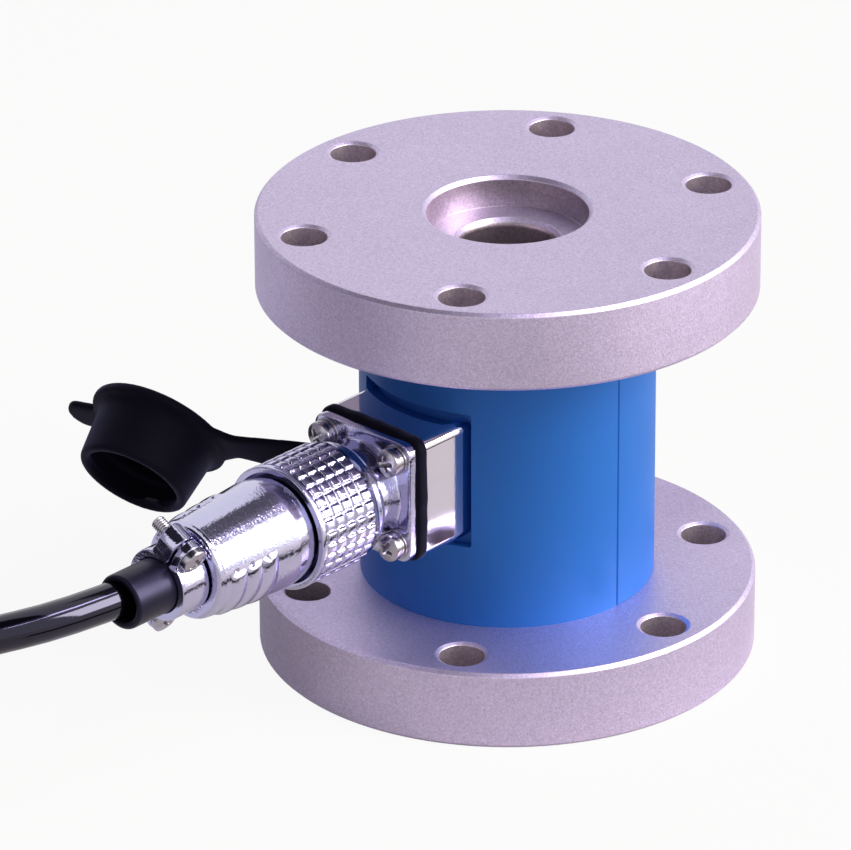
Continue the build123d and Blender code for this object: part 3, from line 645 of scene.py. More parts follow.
def clamp_half_points(side, ear_thickness, low_station, high_station, ear_station):
    """Half of the cable clamp: a strip from ear to ear, arched over the cable in the middle.

    The strip's inner and outer line are carried along one path: straight in the ears and half circles over
    the grommet. Its width is that of the arch, and ends in half a disc round each screw.
    """
    bore, outer, ear_round, ear_steps = 5.5, 7.2, 2.9, 22
    tip = CLAMP_PITCH / 2 + ear_round
    ear_share = 1 - np.cos(np.linspace(0, pi / 2, ear_steps))
    arch_share = np.linspace(-1, 1, 61)
    lines = []
    for level, radius in ((CLAMP_SPLIT, bore), (CLAMP_SPLIT + ear_thickness, outer)):
        half_arch = np.arccos(level / radius)
        ear = tip - ear_share * (tip - radius * sin(half_arch))
        levels = np.full(ear_steps, level)
        lines.append(np.concatenate([
            np.stack([levels, -ear], -1),
            radius * np.stack([np.cos(arch_share * half_arch), np.sin(arch_share * half_arch)], -1)[1:-1],
            np.stack([levels, ear], -1)[::-1]]))
    inner_line, outer_line = lines
    across = np.abs(inner_line[:, 1] + outer_line[:, 1]) / 2
    past = np.clip(across - CLAMP_PITCH / 2, 0, ear_round)
    ear_half = np.sqrt(np.maximum(ear_round ** 2 - past ** 2, 0))
    over_arch = 1 - smooth_step(outer - 1.2, outer - 0.8, across)
    low = ear_station - ear_half + over_arch * (low_station - ear_station + ear_round)
    high = ear_station + ear_half + over_arch * (high_station - ear_station - ear_round)
    thick, wide = eased_outline([(0, 0, 0.12), (1, 0, 0.12), (1, 1, 0.12), (0, 1, 0.12)], 4).T
    line = inner_line[:, None] + thick[:, None] * (outer_line - inner_line)[:, None]
    station = low[:, None] + wide * (high - low)[:, None]
    return np.stack([side * line[..., 0], line[..., 1], station], -1)


def receptacle_points():
    """The receptacle: a turned tail and nose, and a plate whose edge follows a rounded square.

    The nose's thread is cut by thread_groove and fades in at its inner end.
    """
    start, nose_end = stations("receptacle_shell")
    plate_back = stations("gasket")[1]
    plate_front = plate_back + 2.0
    thread_start = plate_front + 5.0
    half, corner = reach("receptacle_shell"), 2.6
    bore = reach("receptacle_insert") + 0.05
    barrel, tail, thread_depth, segments = 9.6, 9.0, 0.42, 256
    angle = full_turn(segments)
    lead_in = eased_outline([
        (bore, start, 0), (bore, nose_end, 0.25), (barrel - 0.5, nose_end, 0.3),
        (barrel - 0.05, nose_end - 0.65, 0)], 4)
    thread = np.linspace(nose_end - 0.7, thread_start, 72)
    fade = smooth_step(thread_start, thread_start + 1.0, thread)
    cut = thread_depth * fade * thread_groove(thread, mm("nose_thread_pitch"), angle, 0.9)
    neck = eased_outline([
        (barrel, plate_front + 4.9, 0), (barrel, plate_front + 1.5, 0.9), (barrel + 0.32, plate_front, 0.5),
        (barrel + 0.9, plate_front, 0)], 6)
    grids = [turned(lead_in, segments), round_z(angle, barrel - cut, thread), turned(neck, segments)]
    for inset, station in ((0.9, plate_front), (0.3, plate_front), (0.1, plate_front - 0.06),
                           (0.0, plate_front - 0.3), (0.0, plate_back + 0.2), (0.1, plate_back)):
        radius = rounded_square(angle, half - inset, corner - inset * 0.8)
        grids.append(round_z(angle, radius, station))
    grids.append(turned(np.array([(tail, plate_back), (tail, start)]), segments))
    return np.concatenate(grids, 1)


def gasket_points():
    """The gasket: a rounded square plate with a round hole, its edge pressed out a little between the screws.

    The bulge is 0.42 + 0.16 (cos 4a + 1) / 2 with two small waves round the edge.
    """
    back, front = stations("gasket")
    hole, corner, segments = 9.15, 3.0, 256
    half = reach("gasket") - 0.2
    angle = full_turn(segments)
    bulge = 0.42 + 0.16 * (np.cos(4 * angle) + 1) / 2 + 0.06 * np.sin(11 * angle) + 0.05 * np.sin(17 * angle + 1)
    grids = [turned(np.array([(hole, back), (hole, front)]), segments)]
    for inset, share in ((0.6, 1.0), (0.18, 0.97), (0.02, 0.8), (0.0, 0.5), (0.02, 0.2), (0.18, 0.03), (0.6, 0.0)):
        radius = rounded_square(angle, half - inset, corner) + bulge * (1 - inset)
        grids.append(round_z(angle, radius, back + share * (front - back)))
    return np.concatenate(grids, 1)


def tube_points(path, radius):
    """A round tube along a path of points: path + r (cos a side + sin a up), side and up square to the path."""
    ahead = unit(np.gradient(path, axis=0))
    side = unit(np.cross(ahead, [0, 0, 1.0]))
    up = np.cross(side, ahead)
    angle = full_turn(20)
    return path[:, None] + radius * (np.cos(angle) * side[:, None] + np.sin(angle) * up[:, None])


def strip_points(path, across, normal, half_width, half_thickness):
    """A flat strip: a rounded section, |cos|^0.35 wide and |sin|^0.6 thick, carried along a path."""
    angle = full_turn(28)[:, 0]
    wide = np.sign(np.cos(angle)) * np.abs(np.cos(angle)) ** 0.35
    thick = np.sign(np.sin(angle)) * np.abs(np.sin(angle)) ** 0.6
    return (path[:, None] + (wide * half_width[:, None])[..., None] * across
            + (thick * half_thickness)[:, None] * normal)


# Dust cap, in millimetres

CAP_CENTRE = np.array([-47.2, -48.9, 47.2])
CAP_OPENING = np.array([0.177, -0.808, -0.562])
STRAP_ROOT = np.array([-14.05, -38.2, 47.2])
CAP_TAB_TURN = radians(10.0)
# Where the strap starts, from the cap's middle, and how far it reaches into the gasket
STRAP_START = 12.4
STRAP_HOLD = 1.6


def cap_axes():
    """The cap's own axes: x towards the strap's root, y across it and z out of the mouth."""
    out = unit(CAP_OPENING)
    along = STRAP_ROOT - CAP_CENTRE
    along = unit(along - out * (along @ out))
    return along, np.cross(out, along), out


def cap_cup_points():
    """The cap's disc and cup, turned as one."""
    rim, cup, mouth, wall, groove = 14.3, 12.9, 12.8, 9.7, 10.2
    return turned(eased_outline([
        (0.0, -1.0, 0), (rim, -1.0, 1.0), (rim, 1.0, 0.5), (cup, 1.2, 0.6), (cup - 0.6, 2.2, 0.6),
        (cup - 1.6, mouth, 0.9), (wall - 0.2, mouth, 0.7), (wall - 0.2, mouth - 1.6, 0.4), (groove, 10.6, 0.3),
        (groove, 7.4, 0.3), (wall, 6.9, 0.2), (wall, 1.2, 0.6), (0.0, 1.0, 0)], 6), 160)


def cap_tab_points():
    """The pull tab: a flat tongue whose half width is 3.9 sqrt(1 - (1 - t)^2) over its last 3 mm."""
    start, end, half_width, round_end = -12.0, -21.6, 3.9, 3.0
    x = start + (end - start) * np.sin(np.linspace(0, 1, 26) * pi / 2)
    to_tip = np.clip((x - end) / round_end, 0, 1)
    half = half_width * np.sqrt(1 - (1 - to_tip) ** 2) + 0.02
    path = np.stack([x, 0 * x, 0.1 + 0 * x], -1)
    return strip_points(path, np.array([0, 1.0, 0]), np.array([0, 0, 1.0]), half, 0.85)


def strap_points():
    """The strap, from inside the disc's edge to inside the gasket's, turning from one plane to the other."""
    along, across, _ = cap_axes()
    start = CAP_CENTRE + along * STRAP_START
    root = STRAP_ROOT + np.array([STRAP_HOLD, 0, 0])
    share = np.linspace(0, 1, 60)[:, None]
    path = start + (root - start) * share
    width_way = unit(across + (np.array([0, 0, 1.0]) - across) * smooth_step(0.05, 1.0, share))
    normal = unit(np.cross(width_way, unit(root - start)))
    flat = share[:, 0]
    half = 3.5 + 2.4 * (1 - smooth_step(0.0, 0.22, flat)) + 0.15 * smooth_step(0.6, 1.0, flat)
    return strip_points(path, width_way[:, None], normal[:, None], half, 0.78)


def cap_mesh():
    """Cup, tab and strap as one moulding, by a fine voxel skin that is then smoothed."""
    place = np.eye(4)
    place[:3, :3] = np.stack(cap_axes(), -1)
    place[:3, 3] = CAP_CENTRE
    tab = moved(cap_tab_points(), turn_about_z(CAP_TAB_TURN))
    parts = [
        new_mesh("cup", moved(cap_cup_points(), place), close_v=False),
        new_mesh("tab", moved(tab, place), close_u=False),
        new_mesh("strap", strap_points(), close_u=False),
    ]
    joined = bmesh.new()
    for part in parts:
        joined.from_mesh(part)
        bpy.data.meshes.remove(part)
    mesh = bpy.data.meshes.new("dust cap moulding")
    joined.to_mesh(mesh)
    joined.free()
    helper = put("moulding", mesh)
    remesh = helper.modifiers.new("skin", "REMESH")
    remesh.mode = "VOXEL"
    remesh.voxel_size = 0.3 * MM
    smooth = helper.modifiers.new("ease", "SMOOTH")
    smooth.factor = 0.5
    smooth.iterations = 7
    graph = bpy.context.evaluated_depsgraph_get()
    skin = bpy.data.meshes.new_from_object(helper.evaluated_get(graph))
    bpy.data.objects.remove(helper)
    return skin


# Cable

# The route's points repeat those of the solid model, in millimetres
CABLE_ROUTE = [
    (0.0, -84.0, 47.0),
    (-0.5, -115.0, 47.3),
    (-13.0, -140.0, 45.7),
    (-22.0, -163.0, 41.0),
    (-34.0, -186.0, 33.0),
    (-56.0, -200.0, 28.6),
    (-80.0, -204.0, 26.8),
]
CABLE_TAIL = [(-127.2, -135.0, 4.5), (-126.0, -114.0, 3.8)]
COIL_CENTRE = (-76.0, -151.0)
COIL_OUTER_TURN = 51.0
COIL_TURN_PITCH = 7.4
COIL_LAYERS = 4
COIL_LAYER_TURNS = 2.81
COIL_START = radians(-94.3)
COIL_FLOOR = 1.0
POINTS_PER_TURN = 14


def coil_winding(turns):
    """Radius and height of the cable's middle after some turns: flat spirals in and out by turns, each
    layer one pitch lower."""
    layer = min(int(turns / COIL_LAYER_TURNS), COIL_LAYERS - 1)
    share = turns / COIL_LAYER_TURNS - layer
    inwards = share if layer % 2 == 0 else 1 - share
    drop = float(smooth_step(0.955, 1.0, share)) if layer < COIL_LAYERS - 1 else 0.0
    level = COIL_LAYERS - 1 - layer - drop
    return (COIL_OUTER_TURN - COIL_TURN_PITCH * COIL_LAYER_TURNS * inwards,
            COIL_FLOOR + mm("cable_diameter") / 2 + level * COIL_TURN_PITCH)


def coil_points():
    """The wound cable's points, each pushed out so that the curve between them keeps its radius."""
    step = 2 * pi / POINTS_PER_TURN
    points = []
    for index in range(1, int(COIL_LAYERS * COIL_LAYER_TURNS * POINTS_PER_TURN) + 1):
        radius, height = coil_winding(index / POINTS_PER_TURN)
        angle = COIL_START - index * step
        points.append((
            COIL_CENTRE[0] + radius / cos(step / 2) * cos(angle),
            COIL_CENTRE[1] + radius / cos(step / 2) * sin(angle),
            height))
    return points


def coil_tie_points(angle):
    """A tie: a flat band's rounded section, drawn tight round the turns that pass one angle.

    In every direction the band lies on the turn that reaches furthest that way.
    """
    width, clearance, thickness = 6.0, 0.1, 0.85
    first = (COIL_START - angle) / (2 * pi) % 1
    turns = np.array([coil_winding(first + full) for full in range(ceil(COIL_LAYERS * COIL_LAYER_TURNS - first))])
    around = full_turn(144)[:, 0]
    outwards = np.stack([np.cos(around), np.sin(around)], -1)
    held = turns[np.argmax(turns @ outwards.T, 0)]
    near = held + (mm("cable_diameter") / 2 + clearance) * outwards
    section = eased_outline([(0, -0.5, 0.1), (1, -0.5, 0.1), (1, 0.5, 0.1), (0, 0.5, 0.1)], 3)
    line = near[:, None] + section[None, :, :1] * thickness * outwards[:, None]
    sideways = section[None, :, 1] * width + 0 * line[..., 0]
    points = np.stack([line[..., 0], sideways, line[..., 1]], -1)
    return moved(moved(points, turn_about_z(angle)), np.array(Matrix.Translation((*COIL_CENTRE, 0.0))))


# Operators, one for each piece or group of like pieces

class SENSOR_OT_flanges(bpy.types.Operator):
    """Adds the two flanges with the measuring section between them"""
    bl_idname = "sensor.flanges"
    bl_label = "Flanges"

    def execute(self, context):
        body = soften("elastic_body", "flanged_body", "blasted nickel", "nickel_plate", mm("edge_round"))
        # The bores and the deep part of the hole through the middle get a darker colour: partly the turned steel's own,
        # partly painted shade in these recesses
        second_finish(body.data, "turned bore", self.in_bores)
        second_finish(body.data, "reamed hole", self.in_bolt_holes)
        return {"FINISHED"}

    def places(self, middle):
        """Depth under the nearer end face, and distance from the axis."""
        low, high = (corner.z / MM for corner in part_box("elastic_body"))
        return np.minimum(middle[:, 2] - low, high - middle[:, 2]), np.hypot(middle[:, 0], middle[:, 1])

    def in_bores(self, middle):
        """Picks the walls of the centring bores and the hole through the middle, whose darker finish is partly painted
        shade.
        """
        depth, from_axis = self.places(middle)
        nearness, bevel, through_radius, bore_depth = 0.1, 0.8, 10, 6.5
        bore_wall = (np.abs(from_axis - mm("pilot_bore") / 2) < nearness) & (depth > bevel)
        return bore_wall | (from_axis < through_radius) & (depth > bore_depth)

    def in_bolt_holes(self, middle):
        """Picks the walls of the six bolt holes in each flange, folded into one sixth of a turn."""
        depth, from_axis = self.places(middle)
        sixth, nearness, bevel = pi / 3, 0.01, 0.5
        folded = (np.arctan2(middle[:, 1], middle[:, 0]) + sixth / 2) % sixth - sixth / 2
        from_hole = np.hypot(
            from_axis * np.cos(folded) - mm("bolt_circle") / 2, from_axis * np.sin(folded))
        return (from_hole < mm("bolt_hole") / 2 + nearness) & (depth > bevel)


class SENSOR_OT_sleeve(bpy.types.Operator):
    """Adds the two halves of the blue sleeve"""
    bl_idname = "sensor.sleeve"
    bl_label = "Sleeve"

    def execute(self, context):
        for side in ("front", "rear"):
            soften(f"sleeve_{side}", f"sleeve_half_{side}", "blue anodised aluminium", "blue_anodised", 0.1)
        return {"FINISHED"}


class SENSOR_OT_block(bpy.types.Operator):
    """Adds the mirror bright block that carries the connector"""
    bl_idname = "sensor.block"
    bl_label = "Connector block"

    def execute(self, context):
        block = soften("connector_block", "mirror_block", "mirror chrome", "mirror_chrome", 0.3)
        second_finish(block.data, "blue anodised aluminium", self.on_saddle)
        return {"FINISHED"}

    def on_saddle(self, middle):
        """Picks the faces of the blue saddle behind the block: beside the block's outline, near the sleeve."""
        margin, depth = 0.05, 1.5
        from_middle = np.maximum(np.abs(middle[:, 0]), np.abs(middle[:, 2] - mm("connector_height")))
        in_sleeve = np.hypot(middle[:, 0], middle[:, 1]) < reach("sleeve_front") - depth
        return (from_middle > mm("block_width") / 2 + margin) & in_sleeve


class SENSOR_OT_receptacle(bpy.types.Operator):
    """Adds the receptacle with its gasket, insert and pins"""
    bl_idname = "sensor.receptacle"
    bl_label = "Receptacle"

    def execute(self, context):
        even_shading(add_shape(
            "receptacle_body", receptacle_points(), connector_place(), "sensor", "cast chrome", "cast_chrome",
            ("receptacle_shell",)))
        add_shape("flange_seal", gasket_points(), connector_place(), "sensor", "black rubber", "black_rubber",
                  ("gasket",), 60)
        dress("receptacle_insert", "phenolic")
        for number in range(1, 5):
            dress(f"receptacle_pin_{number}", "gold flashed brass")
        return {"FINISHED"}


class SENSOR_OT_flange_screws(bpy.types.Operator):
    """Adds the four flange screws over their spring and flat washers"""
    bl_idname = "sensor.flange_screws"
    bl_label = "Flange screws"

    def execute(self, context):
        foot, head = stations("flange_screw_1")
        low, high = stations("flat_washer_1")
        seat = stations("spring_washer_1")[1]
        hole, rim, shank = 1.65, reach("flat_washer_1"), 1.45
        screw = screw_points(reach("flange_screw_1"), head - seat, shank, seat - foot)
        ring = split_ring_points(hole, reach("spring_washer_1"), seat - high)
        washer = turned(eased_outline([
            (hole, 0, 0.06), (rim, 0, 0.12), (rim, high - low, 0.12), (hole, high - low, 0.06)], 4), 64)
        # The first screw stands half a pitch to the left, so that its two sides add up to minus the pitch
        half = -sum(corner.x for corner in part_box("flange_screw_1")) / MM / 2
        for number, x, y, screw_turn, ring_turn in (
                (1, -half, half, 38.0, 200.0), (2, half, half, 12.0, 80.0),
                (3, half, -half, 62.0, 150.0), (4, -half, -half, 25.0, 20.0)):
            for name, node, points, station, turn, closed in (
                    ("pan_screw", "flange_screw", screw, seat, screw_turn, (True, False)),
                    ("split_ring", "spring_washer", ring, high, ring_turn, (False, True)),
                    ("plain_washer", "flat_washer", washer, low, 0.0, (True, True))):
                add_shape(f"{name}_{number}", points, connector_place(x, y, station, radians(turn)), "sensor",
                          "bright nickel", "screw_nickel", (f"{node}_{number}",), 50, closed=closed)
        return {"FINISHED"}


class SENSOR_OT_nut(bpy.types.Operator):
    """Adds the coupling nut with its field of pads, and the ring inside it"""
    bl_idname = "sensor.nut"
    bl_label = "Coupling nut"

    def execute(self, context):
        add_shape("padded_nut", nut_points(), connector_place(), "nut", "cast chrome", "cast_chrome",
                  ("coupling_nut",), 80)
        dress("nut_washer", "bright nickel")
        return {"FINISHED"}


class SENSOR_OT_plug(bpy.types.Operator):
    """Adds the plug shell, and finishes the barrel and contacts inside it"""
    bl_idname = "sensor.plug"
    bl_label = "Plug"

    def execute(self, context):
        add_shape("ridged_shell", shell_points(), clamp_place(), "plug", "cast chrome", "cast_chrome",
                  ("plug_shell",), 50)
        dress("plug_barrel", "bright nickel")
        dress("plug_insert", "phenolic")
        for number in range(1, 5):
            dress(f"plug_socket_{number}", "gold flashed brass")
        return {"FINISHED"}


class SENSOR_OT_clamp(bpy.types.Operator):
    """Adds the cable clamp: the shell's tongue, the loose saddle and the two screws"""
    bl_idname = "sensor.clamp"
    bl_label = "Cable clamp"

    def execute(self, context):
        tongue_thickness, saddle_thickness, overlap = 4.2, 1.8, 0.6
        head_radius, head_height, shank_radius, shank_length = 2.8, 2.1, 1.45, 10.0
        low, high = stations("clamp_saddle")
        middle = (low + high) / 2
        shell_end = stations("plug_shell")[0] + mm("shell_length")
        tongue = clamp_half_points(-1, tongue_thickness, shell_end - overlap, high, middle)
        add_shape("clamp_tongue", tongue, clamp_place(), "plug", "cast chrome", "cast_chrome")
        saddle = clamp_half_points(1, saddle_thickness, low, high, middle)
        add_shape("clamp_bridge", saddle, clamp_place(), "plug", "cast chrome", "cast_chrome", ("clamp_saddle",))
        screw = screw_points(head_radius, head_height, shank_radius, shank_length, mm("thread_pitch"))
        across = np.array([[0, 0, 1, 0], [0, 1, 0, 0], [-1, 0, 0, 0], [0, 0, 0, 1.0]])
        for number, end, turn in ((1, 1, 30), (2, -1, 55)):
            seat = Matrix.Translation((CLAMP_SPLIT + saddle_thickness, end * CLAMP_PITCH / 2, middle))
            place = clamp_place() @ np.array(seat) @ across @ turn_about_z(radians(turn))
            add_shape(f"saddle_screw_{number}", screw, place, "plug", "bright nickel", "screw_nickel",
                      (f"clamp_screw_{number}",), 50, closed=(True, False))
        return {"FINISHED"}


class SENSOR_OT_grommet(bpy.types.Operator):
    """Adds the rubber grommet that holds the cable in the clamp"""
    bl_idname = "sensor.grommet"
    bl_label = "Grommet"

    def execute(self, context):
        front, back = stations("cable_grommet")
        outer, collar, bore, collar_length = 5.45, reach("cable_grommet"), 3.72, 2.0
        profile = eased_outline([
            (bore, front, 0), (collar, front, 0.3), (collar, front + collar_length, 0.3),
            (outer, front + collar_length, 0),
            (outer, back - 4.0, 0), (outer, back, 0.7), (bore + 0.5, back, 0.5), (bore, back - 0.8, 0.4)], 6)
        add_shape("rubber_grommet", turned(profile, 128), connector_place(), "plug", "chloroprene rubber",
                  "black_rubber", ("cable_grommet",), 50)
        return {"FINISHED"}


class SENSOR_OT_dust_cap(bpy.types.Operator):
    """Adds the rubber dust cap, whose strap bends where it leaves the gasket"""
    bl_idname = "sensor.dust_cap"
    bl_label = "Dust cap"

    def execute(self, context):
        cap = add_piece("cap_moulding", cap_mesh(), None, "black rubber", "black_rubber", ("dust_cap",), 80)
        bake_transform(cap)
        return {"FINISHED"}


class SENSOR_OT_cable(bpy.types.Operator):
    """Adds the cable, from the plug to its coil and open end"""
    bl_idname = "sensor.cable"
    bl_label = "Cable"

    def execute(self, context):
        points = [*CABLE_ROUTE, *coil_points(), *CABLE_TAIL]
        curve = bpy.data.curves.new("cable line", "CURVE")
        curve.dimensions = "3D"
        curve.bevel_depth = sizes().cable_diameter / 2
        curve.bevel_resolution = 6
        curve.use_fill_caps = True
        curve.resolution_u = 6
        spline = curve.splines.new("NURBS")
        spline.points.add(len(points) - 1)
        for control, point in zip(spline.points, points):
            control.co = (*(Vector(point) * MM), 1.0)
        spline.order_u = 3
        spline.use_endpoint_u = True
        curve.materials.append(material_of("PVC jacket"))
        cable = put("signal_cable", curve)
        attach(cable, "plug")
        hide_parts("cable", "cable_coil", "cable_end")
        ties = [self.add_tie(number, angle) for number, angle in ((1, 75.0), (2, -140.0))]
        tails = [self.add_core_tail(index, name) for index, name in enumerate(CORES)]
        return {"FINISHED"}

    def add_tie(self, number, angle):
        """One of the ties that hold the coil."""
        mesh = new_mesh("tie", coil_tie_points(radians(angle)))
        return add_piece(f"coil_band_{number}", mesh, "plug", "nylon tie", "tie_black", (f"coil_tie_{number}",))

    def add_core_tail(self, index, name):
        """One core at the cable's open end, stripped to bare copper at its tip."""
        radius, bare_length = 0.65, 6.0
        low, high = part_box(f"core_tail_{index + 1}")
        side = 1 if index > 1 else -1
        near, far = (low.x, high.x) if side > 0 else (high.x, low.x)
        start = Vector((near, low.y, high.z)) / MM + Vector((radius * side, 0, -radius))
        end = Vector((far, high.y, low.z)) / MM + Vector((-radius * side, -1.0, radius))
        share = np.linspace(0, 1, 30)[:, None]
        path = np.array(start) + (np.array(end) - np.array(start)) * share
        path[:, 2] = start.z + (end.z - start.z) * smooth_step(0.0, 0.75, share[:, 0])
        mesh = new_mesh("core", tube_points(path, radius), close_u=False)
        piece = add_piece(f"open_core_{name}", mesh, "plug", f"{name} core insulation", f"core_{name}",
                          (f"core_tail_{index + 1}",))
        second_finish(mesh, "bare copper", lambda middle: middle[:, 1] > end.y - bare_length)
        return piece


class SENSOR_OT_wiring(bpy.types.Operator):
    """Finishes the strain gauges, their leads, the terminal board and the cores inside the plug"""
    bl_idname = "sensor.wiring"
    bl_label = "Wiring"

    def execute(self, context):
        dress("terminal_board", "solder mask")
        for number, name in enumerate(CORES, 1):
            dress(f"strain_gauge_{number}", "gauge film")
            dress(f"bridge_lead_{number}", f"{name} core insulation")
            dress(f"cable_core_{number}", f"{name} core insulation")
        return {"FINISHED"}


# Studio

# The camera's place, fitted to the photograph: its aim and distance are in millimetres, its focal length and
# the image's width in pixels
CAMERA_AIM = Vector((-11.73, -10.90, 45.75))
CAMERA_AZIMUTH = 42.888
CAMERA_ELEVATION = 25.633
CAMERA_ROLL = -0.192
CAMERA_DISTANCE = 1477.75
CAMERA_FOCUS = 7549.8
IMAGE_WIDTH = 851
FILM_WIDTH = 36.0
# What the lights and flags face, in metres: the middle of the sensor
STAGE_AIM = Vector((0, 0, 0.046))


def towards(azimuth, elevation):
    """The unit vector from the object towards a viewer at that azimuth and elevation."""
    a, e = radians(azimuth), radians(elevation)
    return Vector((sin(a) * cos(e), -cos(a) * cos(e), sin(e)))


def facing(place, target):
    """The matrix of an object at a place whose -Z axis points at a target."""
    return Matrix.Translation(place) @ (target - place).to_track_quat("-Z", "Y").to_matrix().to_4x4()


def stage_place(azimuth, elevation, distance):
    """The matrix of a light or flag that faces the sensor from there, in metres."""
    return facing(STAGE_AIM + towards(azimuth, elevation) * distance, STAGE_AIM)


def add_camera():
    """The camera at the photograph's angle."""
    camera = bpy.data.cameras.new("photo camera")
    camera.sensor_width = FILM_WIDTH
    camera.lens = CAMERA_FOCUS * FILM_WIDTH / IMAGE_WIDTH
    camera.clip_end = 50
    rig = put("photo camera", camera)
    aim = CAMERA_AIM * MM
    place = aim + towards(CAMERA_AZIMUTH, CAMERA_ELEVATION) * CAMERA_DISTANCE * MM
    rig.matrix_world = facing(place, aim) @ Matrix.Rotation(radians(CAMERA_ROLL), 4, "Z")
    bpy.context.scene.camera = rig


def add_softbox(name, azimuth, elevation, distance, width, height, watts, shade="FFFFFF"):
    """An area light that looks at the sensor, hidden from the camera."""
    light = bpy.data.lights.new(name, "AREA")
    light.shape = "RECTANGLE"
    light.size = width
    light.size_y = height
    light.energy = watts
    light.color = linear(shade)
    lamp = put(name, light)
    lamp.matrix_world = stage_place(azimuth, elevation, distance)
    lamp.visible_camera = False


def add_plane(name, corners, material):
    """A flat piece of the stage, whose glow isn't sampled as a lamp."""
    material.cycles.emission_sampling = "NONE"
    mesh = bpy.data.meshes.new(name)
    mesh.from_pydata(corners, [], [(0, 1, 2, 3)])
    mesh.materials.append(material)
    plane = put(name, mesh)
    return plane


def add_card(name, corners, shade):
    """A flat card that only reflections see, of one shade."""
    material = bpy.data.materials.new(name)
    tree = empty_tree(material)
    end_tree(tree, add_node(tree, "ShaderNodeEmission", {"Color": opaque(shade)}))
    card = add_plane(name, corners, material)
    card.visible_camera = card.visible_diffuse = card.visible_shadow = False


def add_flag(name, azimuth, elevation, distance, width, height, shade):
    """A dark card that faces the sensor, as studios hang beside bright metal."""
    place = np.array(stage_place(azimuth, elevation, distance))
    half = np.array([[-width, -height, 0], [width, -height, 0], [width, height, 0], [-width, height, 0]]) / 2
    add_card(name, moved(half, place), shade)


def level_corners(low_x, high_x, low_y, high_y, level):
    """The corners of a level rectangle."""
    return [(low_x, low_y, level), (high_x, low_y, level), (high_x, high_y, level), (low_x, high_y, level)]


def seen_directly(tree):
    """1 for rays from the camera and for those that metal and glass send on, and else 0."""
    rays = add_node(tree, "ShaderNodeLightPath").outputs
    either = add_node(tree, "ShaderNodeMath", {0: rays["Is Camera Ray"], 1: rays["Is Glossy Ray"]}, operation="MAXIMUM")
    return add_node(
        tree, "ShaderNodeMath", {0: either.outputs[0], 1: rays["Is Transmission Ray"]}, operation="MAXIMUM").outputs[0]


def add_world():
    """A white surround to look at, and a dimmer one to light by."""
    world = bpy.data.worlds.new("studio")
    tree = empty_tree(world)
    shown = add_node(tree, "ShaderNodeBackground", {"Color": tint("background"), "Strength": 1.0})
    lit = add_node(tree, "ShaderNodeBackground", {"Color": opaque("E8E4E8"), "Strength": 0.22})
    mix = add_node(tree, "ShaderNodeMixShader", {0: seen_directly(tree), 1: lit.outputs[0], 2: shown.outputs[0]})
    add_node(tree, "ShaderNodeOutputWorld", {"Surface": mix.outputs[0]})
    world.cycles.sampling_method = "NONE"
    bpy.context.scene.world = world


def add_floor():
    """A pale floor that stays white where it is looked at, but keeps a faint shadow."""
    material = bpy.data.materials.new("matte white paper")
    tree = empty_tree(material)
    place = add_node(tree, "ShaderNodeTexCoord").outputs["Object"]
    fibre = add_node(tree, "ShaderNodeTexNoise", {"Vector": place, "Scale": per_size(1.2), "Detail": 4.0})
    paper = varied(tree, tint("floor"), fibre.outputs["Fac"], 0.99, 1.0)
    matte = add_node(tree, "ShaderNodeBsdfDiffuse", {"Color": paper})
    glow = add_node(tree, "ShaderNodeEmission", {"Color": (1.0, 1.0, 1.0, 1.0)})
    rays = add_node(tree, "ShaderNodeLightPath").outputs
    mirrored = add_node(
        tree, "ShaderNodeMath", {0: rays["Is Glossy Ray"], 1: rays["Is Transmission Ray"]}, operation="MAXIMUM")
    share = add_node(
        tree, "ShaderNodeMath", {0: mirrored.outputs[0], 1: 0.2, 2: rays["Is Camera Ray"]}, operation="MULTIPLY_ADD")
    kept = add_node(tree, "ShaderNodeMath", {0: share.outputs[0], 1: 0.93}, operation="MINIMUM")
    mix = add_node(tree, "ShaderNodeMixShader", {0: kept.outputs[0], 1: matte.outputs[0], 2: glow.outputs[0]})
    end_tree(tree, mix)
    add_plane("floor", level_corners(-3.0, 3.0, -3.0, 3.0, 0), material)


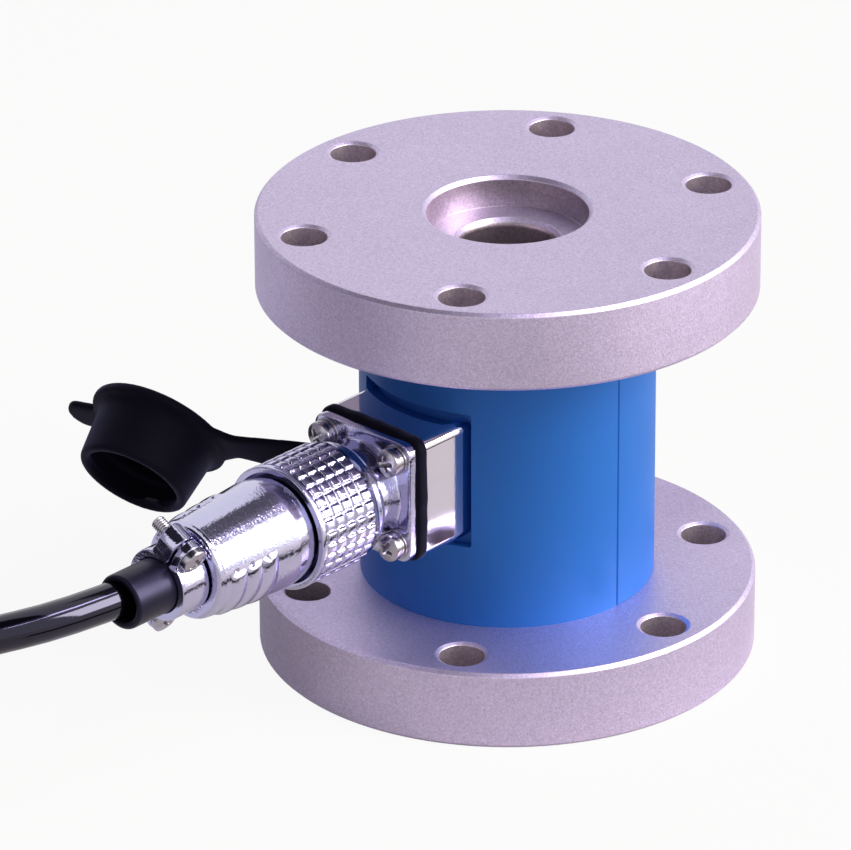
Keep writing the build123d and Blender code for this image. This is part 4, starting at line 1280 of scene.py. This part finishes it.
class SENSOR_OT_stage(bpy.types.Operator):
    """Adds the floor, the lights, the surround and the camera"""
    bl_idname = "sensor.stage"
    bl_label = "Studio"

    def execute(self, context):
        add_camera()
        add_world()
        add_floor()
        add_softbox("key softbox", 115.0, 28.0, 1.1, 0.7, 0.7, 16.0, "FFF8F0")
        add_softbox("top softbox", 110.0, 61.0, 1.2, 0.9, 0.13, 5.5, "F4EAFF")
        add_softbox("back softbox", 138.0, 13.0, 1.1, 0.7, 0.7, 2.6)
        add_flag("left flag", -50.0, 14.0, 1.0, 1.1, 0.9, "A09CAE")
        add_card("high flag", [(-0.28, 0.45, 0.5), (0.42, 0.45, 0.5), (0.42, 0.45, 1.1), (-0.28, 0.45, 1.1)], "5E5A60")
        # A pale card that only reflections see glows over the floor at the left, where the coil and the sensor's shadow
        # lie: painted light in the metal's reflections
        add_card("left paper", level_corners(-0.32, 0.0, -0.12, 0.16, 0.033), "D4D2DC")
        add_flag("front flag", -5.0, 66.0, 0.9, 1.3, 1.15, "2A282F")
        # A dark strip beside the sensor draws a line in the chrome
        add_card("table edge", level_corners(0.1, 0.15, -0.14, 0.1, 0.0005), "18171D")
        # The floor is dark at the bottom of the bolt hole that the plug overshadows
        x, y, half = -mm("bolt_circle") / 4 * MM, -mm("bolt_circle") / 2 * sin(radians(60)) * MM, 0.006
        add_card("hole shade", level_corners(x - half, x + half, y - half, y + half, 0.0006), "0A0A0A")
        context.scene.view_settings.view_transform = "Standard"
        return {"FINISHED"}


STEPS = (
    SENSOR_OT_stage, SENSOR_OT_cable, SENSOR_OT_flanges, SENSOR_OT_sleeve, SENSOR_OT_block, SENSOR_OT_receptacle,
    SENSOR_OT_flange_screws, SENSOR_OT_nut, SENSOR_OT_plug, SENSOR_OT_clamp, SENSOR_OT_grommet, SENSOR_OT_dust_cap,
    SENSOR_OT_wiring,
)


class SENSOR_PT_pieces(bpy.types.Panel):
    """Lists the sensor's settings and steps"""
    bl_idname = "SENSOR_PT_pieces"
    bl_label = "Torque sensor"
    bl_space_type = "VIEW_3D"
    bl_region_type = "UI"
    bl_category = "Sensor"

    def draw(self, context):
        settings = self.layout.box()
        for group in (context.scene.sensor_sizes, context.scene.sensor_colours):
            for name in type(group).__annotations__:
                settings.prop(group, name)
        for step in STEPS:
            self.layout.operator(step.bl_idname)


CLASSES = (SensorSizes, SensorColours, *STEPS, SENSOR_PT_pieces)


def register():
    """Registers the classes and the scene's settings."""
    for one in CLASSES:
        bpy.utils.register_class(one)
    bpy.types.Scene.sensor_sizes = bpy.props.PointerProperty(type=SensorSizes)
    bpy.types.Scene.sensor_colours = bpy.props.PointerProperty(type=SensorColours)


def unregister():
    """Takes the settings and the classes away again."""
    del bpy.types.Scene.sensor_colours
    del bpy.types.Scene.sensor_sizes
    for one in reversed(CLASSES):
        bpy.utils.unregister_class(one)


def main():
    """Registers the add-on and runs its steps in order."""
    register()
    bpy.ops.sensor.stage()
    bpy.ops.sensor.cable()
    bpy.ops.sensor.flanges()
    bpy.ops.sensor.sleeve()
    bpy.ops.sensor.block()
    bpy.ops.sensor.receptacle()
    bpy.ops.sensor.flange_screws()
    bpy.ops.sensor.nut()
    bpy.ops.sensor.plug()
    bpy.ops.sensor.clamp()
    bpy.ops.sensor.grommet()
    bpy.ops.sensor.dust_cap()
    bpy.ops.sensor.wiring()


if __name__ == "__main__":
    main()
